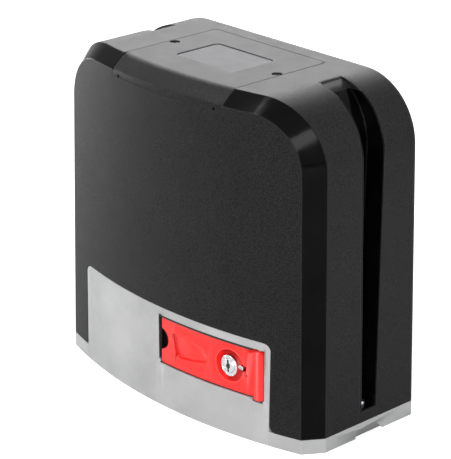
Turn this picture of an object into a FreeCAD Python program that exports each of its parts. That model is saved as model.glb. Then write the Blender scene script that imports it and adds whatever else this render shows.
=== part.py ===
import FreeCAD, Part
import Sketcher

import math
import os
import re

from FreeCAD import Rotation, Vector

# Sliding gate motor.  Millimetres, +Z up, +X along the gate, -Y towards the user and +Y towards
# the gate.  The origin is the centre of the four anchor slots on the underside of the base.

SIZES = {
    # outside form of the moulded cover and of the cast base under it
    "overall_height": 300.0,
    "base_width": 320.0,
    "base_depth": 150.2,
    "front_radius": 473.5,
    "side_draft": 1.26,
    "front_draft": 0.86,
    "back_draft": 0.17,
    "crown_radius": 57.0,
    "bevel_on_front": 13.4,
    "bevel_on_side": 11.9,
    "back_edge_radius": 6.0,
    "cover_wall": 3.0,
    "running_gap": 0.3,
    # cast base with its rim, front skirt and back upstand
    "rim_height": 12.8,
    "rim_wall": 5.0,
    "floor_thickness": 6.0,
    "skirt_half_width": 118.7,
    "skirt_height": 92.0,
    "skirt_wall": 4.0,
    "skirt_corner_radius": 7.0,
    "skirt_gap": 0.5,
    "cover_foot_radius": 6.0,
    "gusset_thickness": 4.0,
    "gusset_length": 16.0,
    "gusset_height": 34.0,
    "anchor_pitch_x": 260.0,
    "anchor_pitch_y": 84.0,
    "anchor_slot_width": 11.0,
    "anchor_slot_length": 24.0,
    "leveller_pitch_x": 212.0,
    "leveller_radius": 4.0,
    "leveller_boss_radius": 8.0,
    "leveller_length": 24.0,
    "housing_pad_left": -72.0,
    "housing_pad_right": 41.0,
    "housing_pad_y": 34.0,
    "housing_pad_radius": 7.0,
    "housing_pad_height": 10.0,
    "housing_screw_radius": 3.0,
    "housing_screw_length": 14.0,
    "strike_depth": 12.0,
    "strike_height": 4.0,
    "rim_notch_centre": 18.8,
    "rim_notch_width": 33.0,
    "rim_notch_height": 7.5,
    "rim_notch_depth": 3.0,
    "cable_entry_x": 75.0,
    "cable_entry_inset": 25.1,
    "cable_entry_radius": 15.0,
    "grommet_flange": 3.0,
    "grommet_bore": 9.0,
    # side channels that give a screwdriver its way down to the cover screws
    "channel_front": 9.3,
    "channel_low_width": 16.7,
    "channel_top_width": 25.6,
    "channel_floor": 24.0,
    "channel_depth": 24.6,
    "channel_scoop_radius": 60.0,
    "channel_scoop_height": 246.0,
    "trim_thickness": 1.5,
    "cover_screw_inset": 11.1,
    "cover_screw_radius": 2.5,
    "cover_screw_head_radius": 4.6,
    "cover_screw_head_height": 3.6,
    "cover_screw_length": 20.0,
    "screw_clearance": 0.25,
    "screw_boss_radius": 5.6,
    # service hatch over the electronics
    "hatch_half_width": 68.0,
    "hatch_back": 52.3,
    "hatch_lip_drop": 17.0,
    "hatch_thickness": 2.6,
    "hatch_gap": 0.3,
    "hatch_ledge": 10.0,
    "pry_notch_x": 59.5,
    "pry_notch_width": 3.0,
    "pry_notch_height": 2.4,
    "pry_notch_depth": 1.6,
    "hatch_screw_x": 63.3,
    "hatch_screw_y": 0.0,
    "hatch_screw_head_radius": 3.6,
    "hatch_screw_hole_radius": 4.3,
    "hatch_screw_radius": 1.75,
    "hatch_screw_length": 9.0,
    "badge_width": 70.5,
    "badge_depth": 48.6,
    "badge_recess": 1.4,
    "badge_plate_thickness": 0.9,
    "badge_corner_radius": 4.0,
    # release door in the skirt
    "door_left": -2.0,
    "door_bottom": 41.0,
    "door_top": 83.4,
    "door_thickness": 5.0,
    "door_recess": 1.4,
    "door_gap": 1.6,
    "door_corner_radius": 2.6,
    "hinge_x": 106.7,
    "hinge_depth": 3.5,
    "hinge_barrel_radius": 5.5,
    "hinge_tip": 2.6,
    "hinge_relief_reach": 10.8,
    "hinge_relief_depth": 2.6,
    "hinge_pin_radius": 2.0,
    "hinge_pin_clearance": 0.06,
    "thumb_notch_radius": 10.0,
    "thumb_notch_depth": 8.5,
    "lock_x": 77.0,
    "lock_height": 61.8,
    "lock_recess_radius": 14.2,
    "lock_recess_depth": 3.6,
    "lock_barrel_radius": 9.6,
    "lock_barrel_length": 15.0,
    "lock_face_recess": 0.9,
    "lock_lug_reach": 3.4,
    "lock_lug_height": 6.5,
    "lock_plug_radius": 6.4,
    "lock_plug_clearance": 0.05,
    "keyway_height": 8.0,
    "keyway_width": 1.3,
    "lock_tongue_length": 27.0,
    "lock_tongue_width": 11.0,
    "lock_tongue_thickness": 2.0,
    "release_cam_high": 12.0,
    "release_cam_low": 7.0,
    "release_cam_thickness": 9.0,
    "door_swing": 90.0,
    "cam_gap": 0.4,
    # clutch release behind the skirt
    "yoke_thickness": 5.0,
    "yoke_width": 14.0,
    "clutch_pin_radius": 3.6,
    "clutch_pin_length": 26.0,
    "release_spring_radius": 6.0,
    "release_spring_wire": 0.45,
    "release_spring_turns": 3.0,
    # worm drive
    "shaft_height": 80.0,
    "worm_module": 2.5,
    "wheel_teeth": 30.0,
    "wheel_width": 16.0,
    "worm_pitch_radius": 12.5,
    "worm_length": 47.0,
    "worm_root_radius": 9.3,
    "tooth_backlash": 0.45,
    "shaft_radius": 12.5,
    "shaft_bore_radius": 3.8,
    "shaft_front": -26.5,
    "wheel_hub_radius": 21.0,
    "wheel_hub_width": 23.0,
    "pinion_module": 4.0,
    "pinion_teeth": 16.0,
    "pinion_width": 28.0,
    "pinion_start": 82.0,
    "pinion_bolt_radius": 4.0,
    "pinion_bolt_length": 20.0,
    "pinion_bolt_head_radius": 6.5,
    "pinion_bolt_head_height": 5.3,
    "shaft_collar_radius": 15.5,
    "pinion_washer_radius": 13.0,
    "pinion_washer_thickness": 2.5,
    "rotor_shaft_radius": 7.5,
    # die-cast gear housing
    "housing_wall": 7.0,
    "wheel_room_radius": 43.0,
    "worm_room_radius": 17.6,
    "housing_half_depth": 27.0,
    "housing_foot_height": 8.0,
    "nose_radius": 33.0,
    "nose_end": 74.8,
    "motor_flange_height": 138.0,
    "motor_flange_thickness": 7.0,
    "cover_plate_thickness": 6.0,
    "cover_plate_screw_count": 6.0,
    "small_screw_radius": 2.0,
    "small_screw_length": 8.0,
    "small_screw_head_radius": 3.5,
    "small_screw_head_height": 2.2,
    "front_bearing_outer_radius": 23.5,
    "back_bearing_outer_radius": 23.5,
    "shaft_bearing_width": 12.0,
    "back_bearing_start": 44.0,
    "seal_width": 7.0,
    "seal_start": 62.0,
    "rotor_bearing_outer_radius": 16.0,
    "rotor_bearing_width": 9.0,
    "rotor_bearing_low_start": 28.0,
    "bearing_clearance": 0.02,
    # electric motor
    "motor_radius": 51.0,
    "motor_wall": 3.5,
    "motor_head_room": 14.0,
    "stator_bore_radius": 30.4,
    "air_gap": 0.5,
    "winding_height": 14.0,
    "winding_inner_radius": 33.0,
    "winding_outer_radius": 45.0,
    "motor_ear_circle": 54.0,
    "motor_ear_radius": 5.0,
    "winding_gap": 2.0,
    "fin_count": 20.0,
    "fin_height": 2.4,
    "end_cap_height": 14.0,
    # control electronics under the hatch
    "tray_width": 170.0,
    "tray_depth": 92.0,
    "tray_thickness": 2.5,
    "tray_drop": 50.0,
    "tray_shift": 8.0,
    "tray_leg_radius": 4.0,
    "tray_leg_spread": 22.0,
    "tray_rim": 8.0,
    "post_x": 58.5,
    "post_y": 26.0,
    "post_radius": 4.0,
    "board_width": 160.0,
    "board_depth": 82.0,
    "board_thickness": 1.6,
    "board_standoff": 4.0,
    "terminal_width": 60.0,
    "terminal_depth": 9.0,
    "terminal_height": 11.0,
    "capacitor_radius": 17.5,
    "capacitor_height": 78.0,
    "capacitor_start": 8.0,
    "capacitor_shift": 0.0,
    "clip_thickness": 2.0,
    "clip_width": 8.0,
    "relay_width": 15.0,
    "relay_depth": 19.0,
    "relay_height": 16.0,
    "transformer_x": 84.0,
    "transformer_y": 0.0,
    "transformer_radius": 26.0,
    "transformer_hole": 7.0,
    "transformer_height": 30.0,
    "transformer_bolt_radius": 3.0,
    "sensor_width": 40.0,
    "sensor_thickness": 12.0,
    "sensor_height": 18.0,
    "sensor_inset": 21.1,
}

# lengths that follow from the sizes; each may use the names of those below it
FORMULAS = {
    "core_height": "motor_height - 2 * winding_height - 2 * winding_gap",
    "motor_height": "tray_height - motor_head_room - end_cap_height - motor_flange_height",
    "tray_height": "overall_height - tray_drop",
    "cable_entry_y": "base_depth / 2 - cable_entry_inset",
    "cover_screw_x": "base_width / 2 - cover_screw_inset",
    "sensor_start": "base_depth / 2 - sensor_inset",
}

doc = FreeCAD.newDocument("SlidingGateMotor")
sheet = doc.addObject("Spreadsheet::Sheet", "Sizes")
for row, (alias, value) in enumerate(SIZES.items(), start=1):
    sheet.set(f"A{row}", str(value))
    sheet.setAlias(f"A{row}", alias)
doc.recompute()

nodes = []


# ---------------------------------------------------------------- building helpers

def size(alias):
    """The present value of one cell of the sheet."""
    return float(sheet.get(alias))


def cells(expression):
    """An expression with every size alias written as a reference to the sheet."""
    text = str(expression)
    for name, formula in FORMULAS.items():
        text = re.sub(rf"\b{name}\b", f"({formula})", text)
    return re.sub(r"[a-z_]+", lambda word: f"Sizes.{word[0]}" if word[0] in SIZES else word[0],
                  text)


def amount(expression):
    """The number that an expression of sizes stands for now."""
    probe = sheet.evalExpression(cells(expression))
    return float(getattr(probe, "Value", probe))


def bind(thing, prop, expression):
    """Ties a property to the sheet, or sets it where the expression names no size."""
    if cells(expression) == str(expression):
        if "." not in prop:
            setattr(thing, prop, amount(expression))
            return
    thing.setExpression(prop, cells(expression))


def place(thing, at=(0, 0, 0), axis="Z"):
    """Puts an object at a point given as three expressions, with its own Z along axis."""
    turn = {"Z": Rotation(), "Y": Rotation(Vector(1, 0, 0), -90),
            "X": Rotation(Vector(0, 1, 0), 90), "-Y": Rotation(Vector(1, 0, 0), 90)}[axis]
    thing.Placement = FreeCAD.Placement(Vector(), turn)
    for name, expression in zip("xyz", at):
        if str(expression) != "0":
            thing.setExpression(f"Placement.Base.{name}", cells(expression))
    return thing


def box(lengths, at):
    thing = doc.addObject("Part::Box", "Block")
    for prop, expression in zip(("Length", "Width", "Height"), lengths):
        bind(thing, prop, expression)
    return place(thing, at)


def cylinder(radius, height, at, axis="Z"):
    thing = doc.addObject("Part::Cylinder", "Round")
    bind(thing, "Radius", radius)
    bind(thing, "Height", height)
    return place(thing, at, axis)


def fuse(*things):
    thing = doc.addObject("Part::MultiFuse", "Joined")
    thing.Shapes = list(things)
    thing.Refine = True
    return thing


def cut(base, *tools):
    thing = doc.addObject("Part::Cut", "Machined")
    thing.Base = base
    thing.Tool = tools[0] if len(tools) == 1 else fuse(*tools)
    thing.Refine = True
    return thing


def shaped(shape):
    """A plain feature that carries a shape worked out with Part's own functions."""
    thing = doc.addObject("Part::Feature", "Form")
    thing.Shape = shape
    return thing


def node(label, thing):
    """Names a finished piece and keeps it for export."""
    thing.Label = label
    nodes.append(thing)
    return thing


def outline(body, role, points):
    """A closed sketch of straight lines on one of the body's own planes.

    Every corner is held at a pair of expressions, so the whole outline follows the sheet.
    """
    sketch = body.newObject("Sketcher::SketchObject", "Outline")
    plane = [item for item in body.Origin.OriginFeatures if item.Role == role][0]
    sketch.AttachmentSupport = [(plane, "")]
    sketch.MapMode = "FlatFace"
    corners = [Vector(amount(across), amount(along), 0) for across, along in points]
    for index, corner in enumerate(corners):
        following = corners[(index + 1) % len(corners)]
        sketch.addGeometry(Part.LineSegment(corner, following), False)
    for index in range(len(corners)):
        following = (index + 1) % len(corners)
        sketch.addConstraint(Sketcher.Constraint("Coincident", index, 2, following, 1))
    for index, pair in enumerate(points):
        for kind, expression in zip(("DistanceX", "DistanceY"), pair):
            held = Sketcher.Constraint(kind, -1, 1, index, 1, amount(expression))
            number = sketch.addConstraint(held)
            if cells(expression) != str(expression):
                sketch.setExpression(f"Constraints[{number}]", cells(expression))
    return sketch


def rings(body, role, circles):
    """A sketch of circles, each given as centre across, centre along and radius."""
    sketch = body.newObject("Sketcher::SketchObject", "Rings")
    plane = [item for item in body.Origin.OriginFeatures if item.Role == role][0]
    sketch.AttachmentSupport = [(plane, "")]
    sketch.MapMode = "FlatFace"
    for index, (across, along, radius) in enumerate(circles):
        centre = Vector(amount(across), amount(along), 0)
        sketch.addGeometry(Part.Circle(centre, Vector(0, 0, 1), amount(radius)), False)
        for kind, expression in (("DistanceX", across), ("DistanceY", along)):
            held = Sketcher.Constraint(kind, -1, 1, index, 3, amount(expression))
            number = sketch.addConstraint(held)
            if cells(expression) != str(expression):
                sketch.setExpression(f"Constraints[{number}]", cells(expression))
        number = sketch.addConstraint(Sketcher.Constraint("Radius", index, amount(radius)))
        if cells(radius) != str(radius):
            sketch.setExpression(f"Constraints[{number}]", cells(radius))
    return sketch


def pad(body, sketch, length, middle=False):
    feature = body.newObject("PartDesign::Pad", "Pad")
    feature.Profile = sketch
    bind(feature, "Length", length)
    feature.Midplane = middle
    return feature


def pocket(body, sketch):
    """Cuts a sketch through the whole body, both ways from its plane."""
    before = doc.recompute() and body.Shape.Volume
    feature = body.newObject("PartDesign::Pocket", "Pocket")
    feature.Profile = sketch
    feature.Type = "ThroughAll"
    feature.Midplane = True
    doc.recompute()
    if body.Shape.Volume >= before:
        raise ValueError(f"a pocket of {body.Label} cuts nothing")
    return feature


def turned(points, at, axis="Z"):
    """A turned piece: its half section as (radius, height) pairs, spun about its own Z."""
    body = doc.addObject("PartDesign::Body", "Turned")
    sketch = outline(body, "XZ_Plane", points)
    spin = body.newObject("PartDesign::Revolution", "Spin")
    spin.Profile = sketch
    spin.ReferenceAxis = (sketch, ["V_Axis"])
    spin.Angle = 360
    return place(body, at, axis)


def polygon(points):
    """A closed wire through points."""
    return Part.makePolygon([Vector(*point) for point in points] + [Vector(*points[0])])


def slab(points, sweep):
    """A solid from a closed flat polygon pushed along a vector."""
    return Part.Face(polygon(points)).extrude(Vector(*sweep))


def rounded_plate(half_x, half_y, thickness, radius, centre):
    """A flat plate with round corners, standing on its centre point."""
    plate = Part.makeBox(2 * half_x, 2 * half_y, thickness,
                         Vector(centre[0] - half_x, centre[1] - half_y, centre[2]))
    upright = [edge for edge in plate.Edges if edge.BoundBox.ZLength > 0.9 * thickness]
    return plate.makeFillet(radius, upright)


# ---------------------------------------------------------------- the common outside form

FAR = 500.0


def front_y(x, z, inset=0.0):
    """Depth of the bowed front face, less an inset, at one place across and up."""
    bow = size("front_radius") - inset
    middle = size("front_radius") - size("base_depth") / 2 + z * math.tan(
        math.radians(size("front_draft")))
    return middle - math.sqrt(bow ** 2 - x ** 2)


def front_roll(inset):
    """The large leaning cylinder whose surface is the bowed front face."""
    lean = Vector(0, math.tan(math.radians(size("front_draft"))), 1)
    middle = Vector(0, size("front_radius") - size("base_depth") / 2, 0)
    return Part.makeCylinder(size("front_radius") - inset, 2 * FAR, middle - lean * FAR, lean)


def envelope(inset):
    """The closed outside form, moved inwards by an inset.

    The arched front outline is pushed back through the depth, then bounded by the bowed
    front roll and by the leaning back, and the edge round the front is bevelled.
    """
    half = size("base_width") / 2 - inset
    top = size("overall_height") - inset
    crown = size("crown_radius") - inset
    lean = math.tan(math.radians(size("side_draft")))
    slant = math.hypot(1, lean)
    centre_z = top - crown
    centre_x = half - lean * centre_z - crown * slant
    start = (centre_x + crown / slant, centre_z + crown * lean / slant)
    middle_angle = (math.atan(lean) + math.pi / 2) / 2
    middle = (centre_x + crown * math.cos(middle_angle),
              centre_z + crown * math.sin(middle_angle))

    def at(x, z):
        return Vector(x, -FAR, z)

    edges = [
        Part.makeLine(at(-half, 0), at(half, 0)),
        Part.makeLine(at(half, 0), at(*start)),
        Part.Arc(at(*start), at(*middle), at(centre_x, top)).toShape(),
        Part.makeLine(at(centre_x, top), at(-centre_x, top)),
        Part.Arc(at(-centre_x, top), at(-middle[0], middle[1]), at(-start[0], start[1])).toShape(),
        Part.makeLine(at(-start[0], start[1]), at(-half, 0)),
    ]
    arch = Part.Face(Part.Wire(edges)).extrude(Vector(0, 2 * FAR, 0))
    back = size("base_depth") / 2 - inset
    back_lean = FAR * math.tan(math.radians(size("back_draft")))
    depth = slab([(-FAR, -FAR, -FAR), (-FAR, back + back_lean, -FAR),
                  (-FAR, back - back_lean, FAR), (-FAR, -FAR, FAR)], (2 * FAR, 0, 0))
    block = arch.common(depth)
    if size("back_edge_radius") > inset:
        rear = [edge for edge in block.Edges
                if edge.BoundBox.YMin > back - 2 and edge.BoundBox.ZMax > 1]
        block = block.makeFillet(size("back_edge_radius") - inset, rear)
    block = block.common(front_roll(inset))
    bow = size("front_radius") - inset
    rim = []
    for face in block.Faces:
        if isinstance(face.Surface, Part.Cylinder) and abs(face.Surface.Radius - bow) < 0.001:
            rim = [edge for edge in face.Edges if edge.BoundBox.ZMax > 1]
    shrink = (2 - math.sqrt(2)) * inset
    return block.makeChamfer(size("bevel_on_front") - shrink, size("bevel_on_side") - shrink, rim)


OUTSIDE = envelope(0.0)
INSIDE = envelope(size("cover_wall"))


def between(low, high):
    """All space between two heights."""
    return Part.makeBox(2 * FAR, 2 * FAR, high - low, Vector(-FAR, -FAR, low))


# ---------------------------------------------------------------- side channels and the cover

def channel(side, grow):
    """The tapered slot in one flank, grown all round by a distance.

    Its floor runs straight up, then sweeps inwards on a large arc and meets the top.
    """
    low = size("channel_floor") - grow
    turn = size("channel_scoop_height")
    top = size("overall_height")
    radius = size("channel_scoop_radius") + grow
    floor_x = size("base_width") / 2 - size("channel_depth") - grow
    centre_x = floor_x - radius
    lift = top + 10 - turn
    reach = centre_x + math.sqrt(radius ** 2 - min(lift, 0.999 * radius) ** 2)
    half_lift = 0.5 * math.asin(min(lift, 0.999 * radius) / radius)
    bend = (centre_x + radius * math.cos(half_lift), turn + radius * math.sin(half_lift))

    def at(x, z):
        return Vector(side * x, -FAR, z)

    end_z = turn + min(lift, 0.999 * radius)
    edges = [
        Part.makeLine(at(FAR, low), at(floor_x, low)),
        Part.makeLine(at(floor_x, low), at(floor_x, turn)),
        Part.Arc(at(floor_x, turn), at(*bend), at(reach, end_z)).toShape(),
        Part.makeLine(at(reach, end_z), at(FAR, end_z)),
        Part.makeLine(at(FAR, end_z), at(FAR, low)),
    ]
    scoop = Part.Face(Part.Wire(edges)).extrude(Vector(0, 2 * FAR, 0))
    front = size("channel_front") - grow
    widen = (size("channel_top_width") - size("channel_low_width")) / (top - size("channel_floor"))
    back_low = size("channel_front") + size("channel_low_width") + grow
    back_high = back_low + widen * (end_z - size("channel_floor"))
    taper = slab([(-FAR, front, low), (-FAR, back_low, low), (-FAR, back_high, end_z),
                  (-FAR, front, end_z)], (2 * FAR, 0, 0))
    return scoop.common(taper)


def skirt_opening(gap):
    """The arched cut-out in the front of the cover that the skirt of the base fills."""
    half = size("skirt_half_width") + gap
    top = size("skirt_height") + gap
    low = size("rim_height") + size("running_gap")
    corner = size("skirt_corner_radius")
    foot = size("cover_foot_radius")
    turn = math.sqrt(0.5)

    def at(x, z):
        return Vector(x, -FAR, z)

    right = [
        Part.Arc(at(half + foot, low), at(half + foot - foot * turn, low + foot - foot * turn),
                 at(half, low + foot)).toShape(),
        Part.makeLine(at(half, low + foot), at(half, top - corner)),
        Part.Arc(at(half, top - corner), at(half - corner + corner * turn,
                 top - corner + corner * turn), at(half - corner, top)).toShape(),
    ]
    left = [edge.mirror(Vector(), Vector(1, 0, 0)) for edge in right]
    closing = [
        Part.makeLine(at(half - corner, top), at(corner - half, top)),
        Part.makeLine(at(-half - foot, low), at(-half - foot, low - foot)),
        Part.makeLine(at(-half - foot, low - foot), at(half + foot, low - foot)),
        Part.makeLine(at(half + foot, low - foot), at(half + foot, low)),
    ]
    wire = Part.Wire(Part.__sortEdges__(right + left + closing))
    return Part.Face(wire).extrude(Vector(0, FAR - size("base_depth") / 4, 0))


def shaft_opening(gap):
    """The open-ended slot in the back of the cover, round over the output shaft."""
    half = size("nose_radius") + gap
    rise = Part.makeBox(2 * half, FAR, size("shaft_height"), Vector(-half, 0, 0))
    head = Part.makeCylinder(half, FAR, Vector(0, 0, size("shaft_height")), Vector(0, 1, 0))
    return rise.fuse(head)


def hatch_room(gap):
    """The part of the outside that belongs to the hatch: top, front bevel and a short lip."""
    half = size("hatch_half_width") + gap
    low = size("overall_height") - size("hatch_lip_drop") - gap
    back = size("hatch_back") + gap
    block = Part.makeBox(2 * half, FAR + back, FAR, Vector(-half, -FAR, low))
    rear = [edge for edge in block.Edges
            if edge.BoundBox.YMin > back - 1 and edge.BoundBox.ZLength > 1]
    return block.makeFillet(size("badge_corner_radius"), rear)


def cover_screw_places():
    across = amount("cover_screw_x")
    along = size("channel_front") + size("channel_low_width") / 2
    return [(side * across, along) for side in (-1, 1)]


def hatch_screw_places():
    return [(side * size("hatch_screw_x"), size("hatch_screw_y")) for side in (-1, 1)]


def make_cover():
    """The moulded cover: one thin shell with two channels, a hatch seat and two openings."""
    low = size("rim_height") + size("running_gap")
    shell = OUTSIDE.cut(INSIDE)
    walled = [OUTSIDE.common(channel(side, size("trim_thickness") + size("cover_wall")))
              for side in (-1, 1)]
    ledge_half = size("hatch_half_width") + size("cover_wall")
    ledge_back = size("hatch_back") + size("cover_wall")
    ledge_drop = size("hatch_thickness") + size("cover_wall")
    ledge = Part.makeBox(2 * ledge_half, FAR + ledge_back, FAR,
                         Vector(-ledge_half, -FAR, size("overall_height") - size("hatch_lip_drop")
                                - size("cover_wall")))
    ledge = ledge.common(OUTSIDE).cut(envelope(ledge_drop))
    shell = shell.fuse(walled + [ledge])
    for x, y in cover_screw_places():
        boss = Part.makeCylinder(size("screw_boss_radius"), size("channel_floor") - low,
                                 Vector(x, y, low))
        shell = shell.fuse(boss)
    for x, y in hatch_screw_places():
        depth = size("hatch_screw_length") + 1
        shell = shell.fuse(Part.makeCylinder(size("hatch_screw_hole_radius"), depth,
                                             Vector(x, y, size("overall_height") - depth - 1)))
    skin = hatch_room(size("hatch_gap")).cut(envelope(size("hatch_thickness")))
    room_half = size("hatch_half_width") - size("hatch_ledge")
    room_back = size("hatch_back") - size("hatch_ledge")
    room = Part.makeBox(2 * room_half, 2 * room_back, FAR,
                        Vector(-room_half, -room_back, size("overall_height") / 2))
    shell = shell.cut(skin).cut(room)
    for side in (-1, 1):
        shell = shell.cut(channel(side, size("trim_thickness")))
    shell = shell.common(between(low, FAR))
    shell = shell.cut([skirt_opening(size("skirt_gap")), shaft_opening(1.0)])
    for x, y in cover_screw_places():
        hole = size("cover_screw_radius") + size("screw_clearance")
        shell = shell.cut(Part.makeCylinder(hole, FAR, Vector(x, y, 0)))
    for x, y in hatch_screw_places():
        hole = size("hatch_screw_radius") + size("screw_clearance")
        shell = shell.cut(Part.makeCylinder(hole, FAR, Vector(x, y, size("overall_height") / 2)))
    node("cover_shell", shaped(shell.removeSplitter()))


def make_channel_trims():
    """Glossy liners that line both channels, flush with the outside."""
    for side, label in ((-1, "left_channel_trim"), (1, "right_channel_trim")):
        liner = channel(side, size("trim_thickness") - 0.05).common(OUTSIDE)
        liner = liner.cut(channel(side, 0.0))
        x, y = cover_screw_places()[0 if side < 0 else 1]
        hole = size("cover_screw_radius") + size("screw_clearance")
        liner = liner.cut(Part.makeCylinder(hole, FAR, Vector(x, y, 0)))
        node(label, shaped(liner))


def make_hatch():
    """The screwed-down hatch with its badge recess and two counterbored screw holes."""
    top = size("overall_height")
    lid = OUTSIDE.common(hatch_room(0.0)).cut(envelope(size("hatch_thickness") - 0.1))
    recess = rounded_plate(size("badge_width") / 2, size("badge_depth") / 2, 20,
                           size("badge_corner_radius"), (0, 0, top - size("badge_recess")))
    lid = lid.cut(recess)
    for x, y in hatch_screw_places():
        seat = top - size("hatch_thickness") / 2
        lid = lid.cut(Part.makeCylinder(size("hatch_screw_hole_radius"), 20, Vector(x, y, seat)))
        hole = size("hatch_screw_radius") + size("screw_clearance")
        lid = lid.cut(Part.makeCylinder(hole, 20, Vector(x, y, top - 10)))
    width = size("pry_notch_width")
    low = top - size("hatch_lip_drop")
    for x in (-1, 1):
        at = x * size("pry_notch_x") - width / 2
        face = front_y(at + width / 2, low)
        lid = lid.cut(Part.makeBox(width, FAR, size("pry_notch_height"),
                                   Vector(at, face + size("pry_notch_depth") - FAR, low - 0.1)))
    node("top_hatch", shaped(lid))
    plate_half = (size("badge_width") / 2 - size("hatch_gap"),
                  size("badge_depth") / 2 - size("hatch_gap"))
    plate = rounded_plate(plate_half[0], plate_half[1], size("badge_plate_thickness"),
                          size("badge_corner_radius") - size("hatch_gap"),
                          (0, 0, top - size("badge_recess")))
    node("badge_plate", shaped(plate))


make_cover()
make_channel_trims()
make_hatch()


def screw(radius, length, head_radius, head_height, at, slot=True):
    """A turned screw standing head up on its seat at a point, with a cross slot."""
    blank = turned([("0", f"-({length})"), (radius, f"-({length})"), (radius, "0"),
                    (head_radius, "0"), (head_radius, head_height), ("0", head_height)], at)
    if not slot:
        return blank
    bars = []
    for long_way in (0, 1):
        lengths = [f"1.3 * ({head_radius})", "1", f"0.6 * ({head_height})"]
        shift = [f"-0.65 * ({head_radius})", "-0.5", f"0.4 * ({head_height})"]
        if long_way:
            lengths[0], lengths[1] = lengths[1], lengths[0]
            shift[0], shift[1] = shift[1], shift[0]
        spot = [f"({base}) + ({offset})" for base, offset in zip(at, shift)]
        bars.append(box(lengths, spot))
    return cut(blank, *bars)


channel_middle = "channel_front + channel_low_width / 2"
for side, label in (("-", "left_cover_screw"), ("", "right_cover_screw")):
    node(label, screw("cover_screw_radius", "cover_screw_length", "cover_screw_head_radius",
                      "cover_screw_head_height",
                      (f"{side}cover_screw_x", channel_middle, "channel_floor")))
hatch_seat = "overall_height - hatch_thickness / 2"
hatch_screws = [screw("hatch_screw_radius", "hatch_screw_length", "hatch_screw_head_radius",
                      "hatch_thickness / 3", (f"{side}hatch_screw_x", "hatch_screw_y", hatch_seat))
                for side in ("-", "")]
node("hatch_screws", fuse(*hatch_screws))


# ---------------------------------------------------------------- cast base

def door_window(gap):
    """The room that the release door fills in the skirt, with its hinge relief."""
    left = size("door_left") - gap
    low = size("door_bottom") - gap
    high = size("door_top") + gap
    hinge = size("hinge_x")
    relief = size("hinge_barrel_radius") + gap / 2
    block = Part.makeBox(hinge - left, FAR, high - low, Vector(left, -FAR, low))
    tip = low - size("hinge_tip")
    barrel = Part.makeCylinder(relief, high - tip, Vector(hinge, hinge_y(), tip))
    far_side = hinge + size("hinge_relief_reach")
    face = front_y(far_side, low)
    inner = front_y(hinge, low) + size("hinge_relief_depth")
    slope = slab([(far_side, face, low), (hinge + relief, inner, low), (hinge, inner, low),
                  (hinge, -FAR, low), (far_side, -FAR, low)], (0, 0, high - low))
    return block.fuse([barrel, slope])


def cam_room():
    """A pocket in the back of the skirt where the cam on the door's hinge turns."""
    radius = size("release_cam_low") + size("cam_gap") * 4
    half = size("release_cam_thickness") / 2 + size("cam_gap") * 2
    middle = (size("door_bottom") + size("door_top")) / 2
    room = Part.makeCylinder(radius, 2 * half, Vector(size("hinge_x"), hinge_y(), middle - half))
    return room.cut(Part.makeBox(2 * FAR, FAR, FAR, Vector(-FAR, hinge_y() - 0.5 - FAR, 0)))


def hinge_y():
    """Depth of the vertical door hinge, set in behind the bowed face at door mid height."""
    middle = (size("door_bottom") + size("door_top")) / 2
    return front_y(size("hinge_x"), middle) + size("hinge_depth")


def lock_face_y():
    """Depth of the flat face of the lock, just behind the bowed face at the lock."""
    return front_y(size("lock_x"), size("lock_height")) + size("lock_face_recess")


def housing_pad_places():
    return [(x, side * size("housing_pad_y")) for side in (-1, 1)
            for x in (size("housing_pad_left"), size("housing_pad_right"))]


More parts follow.
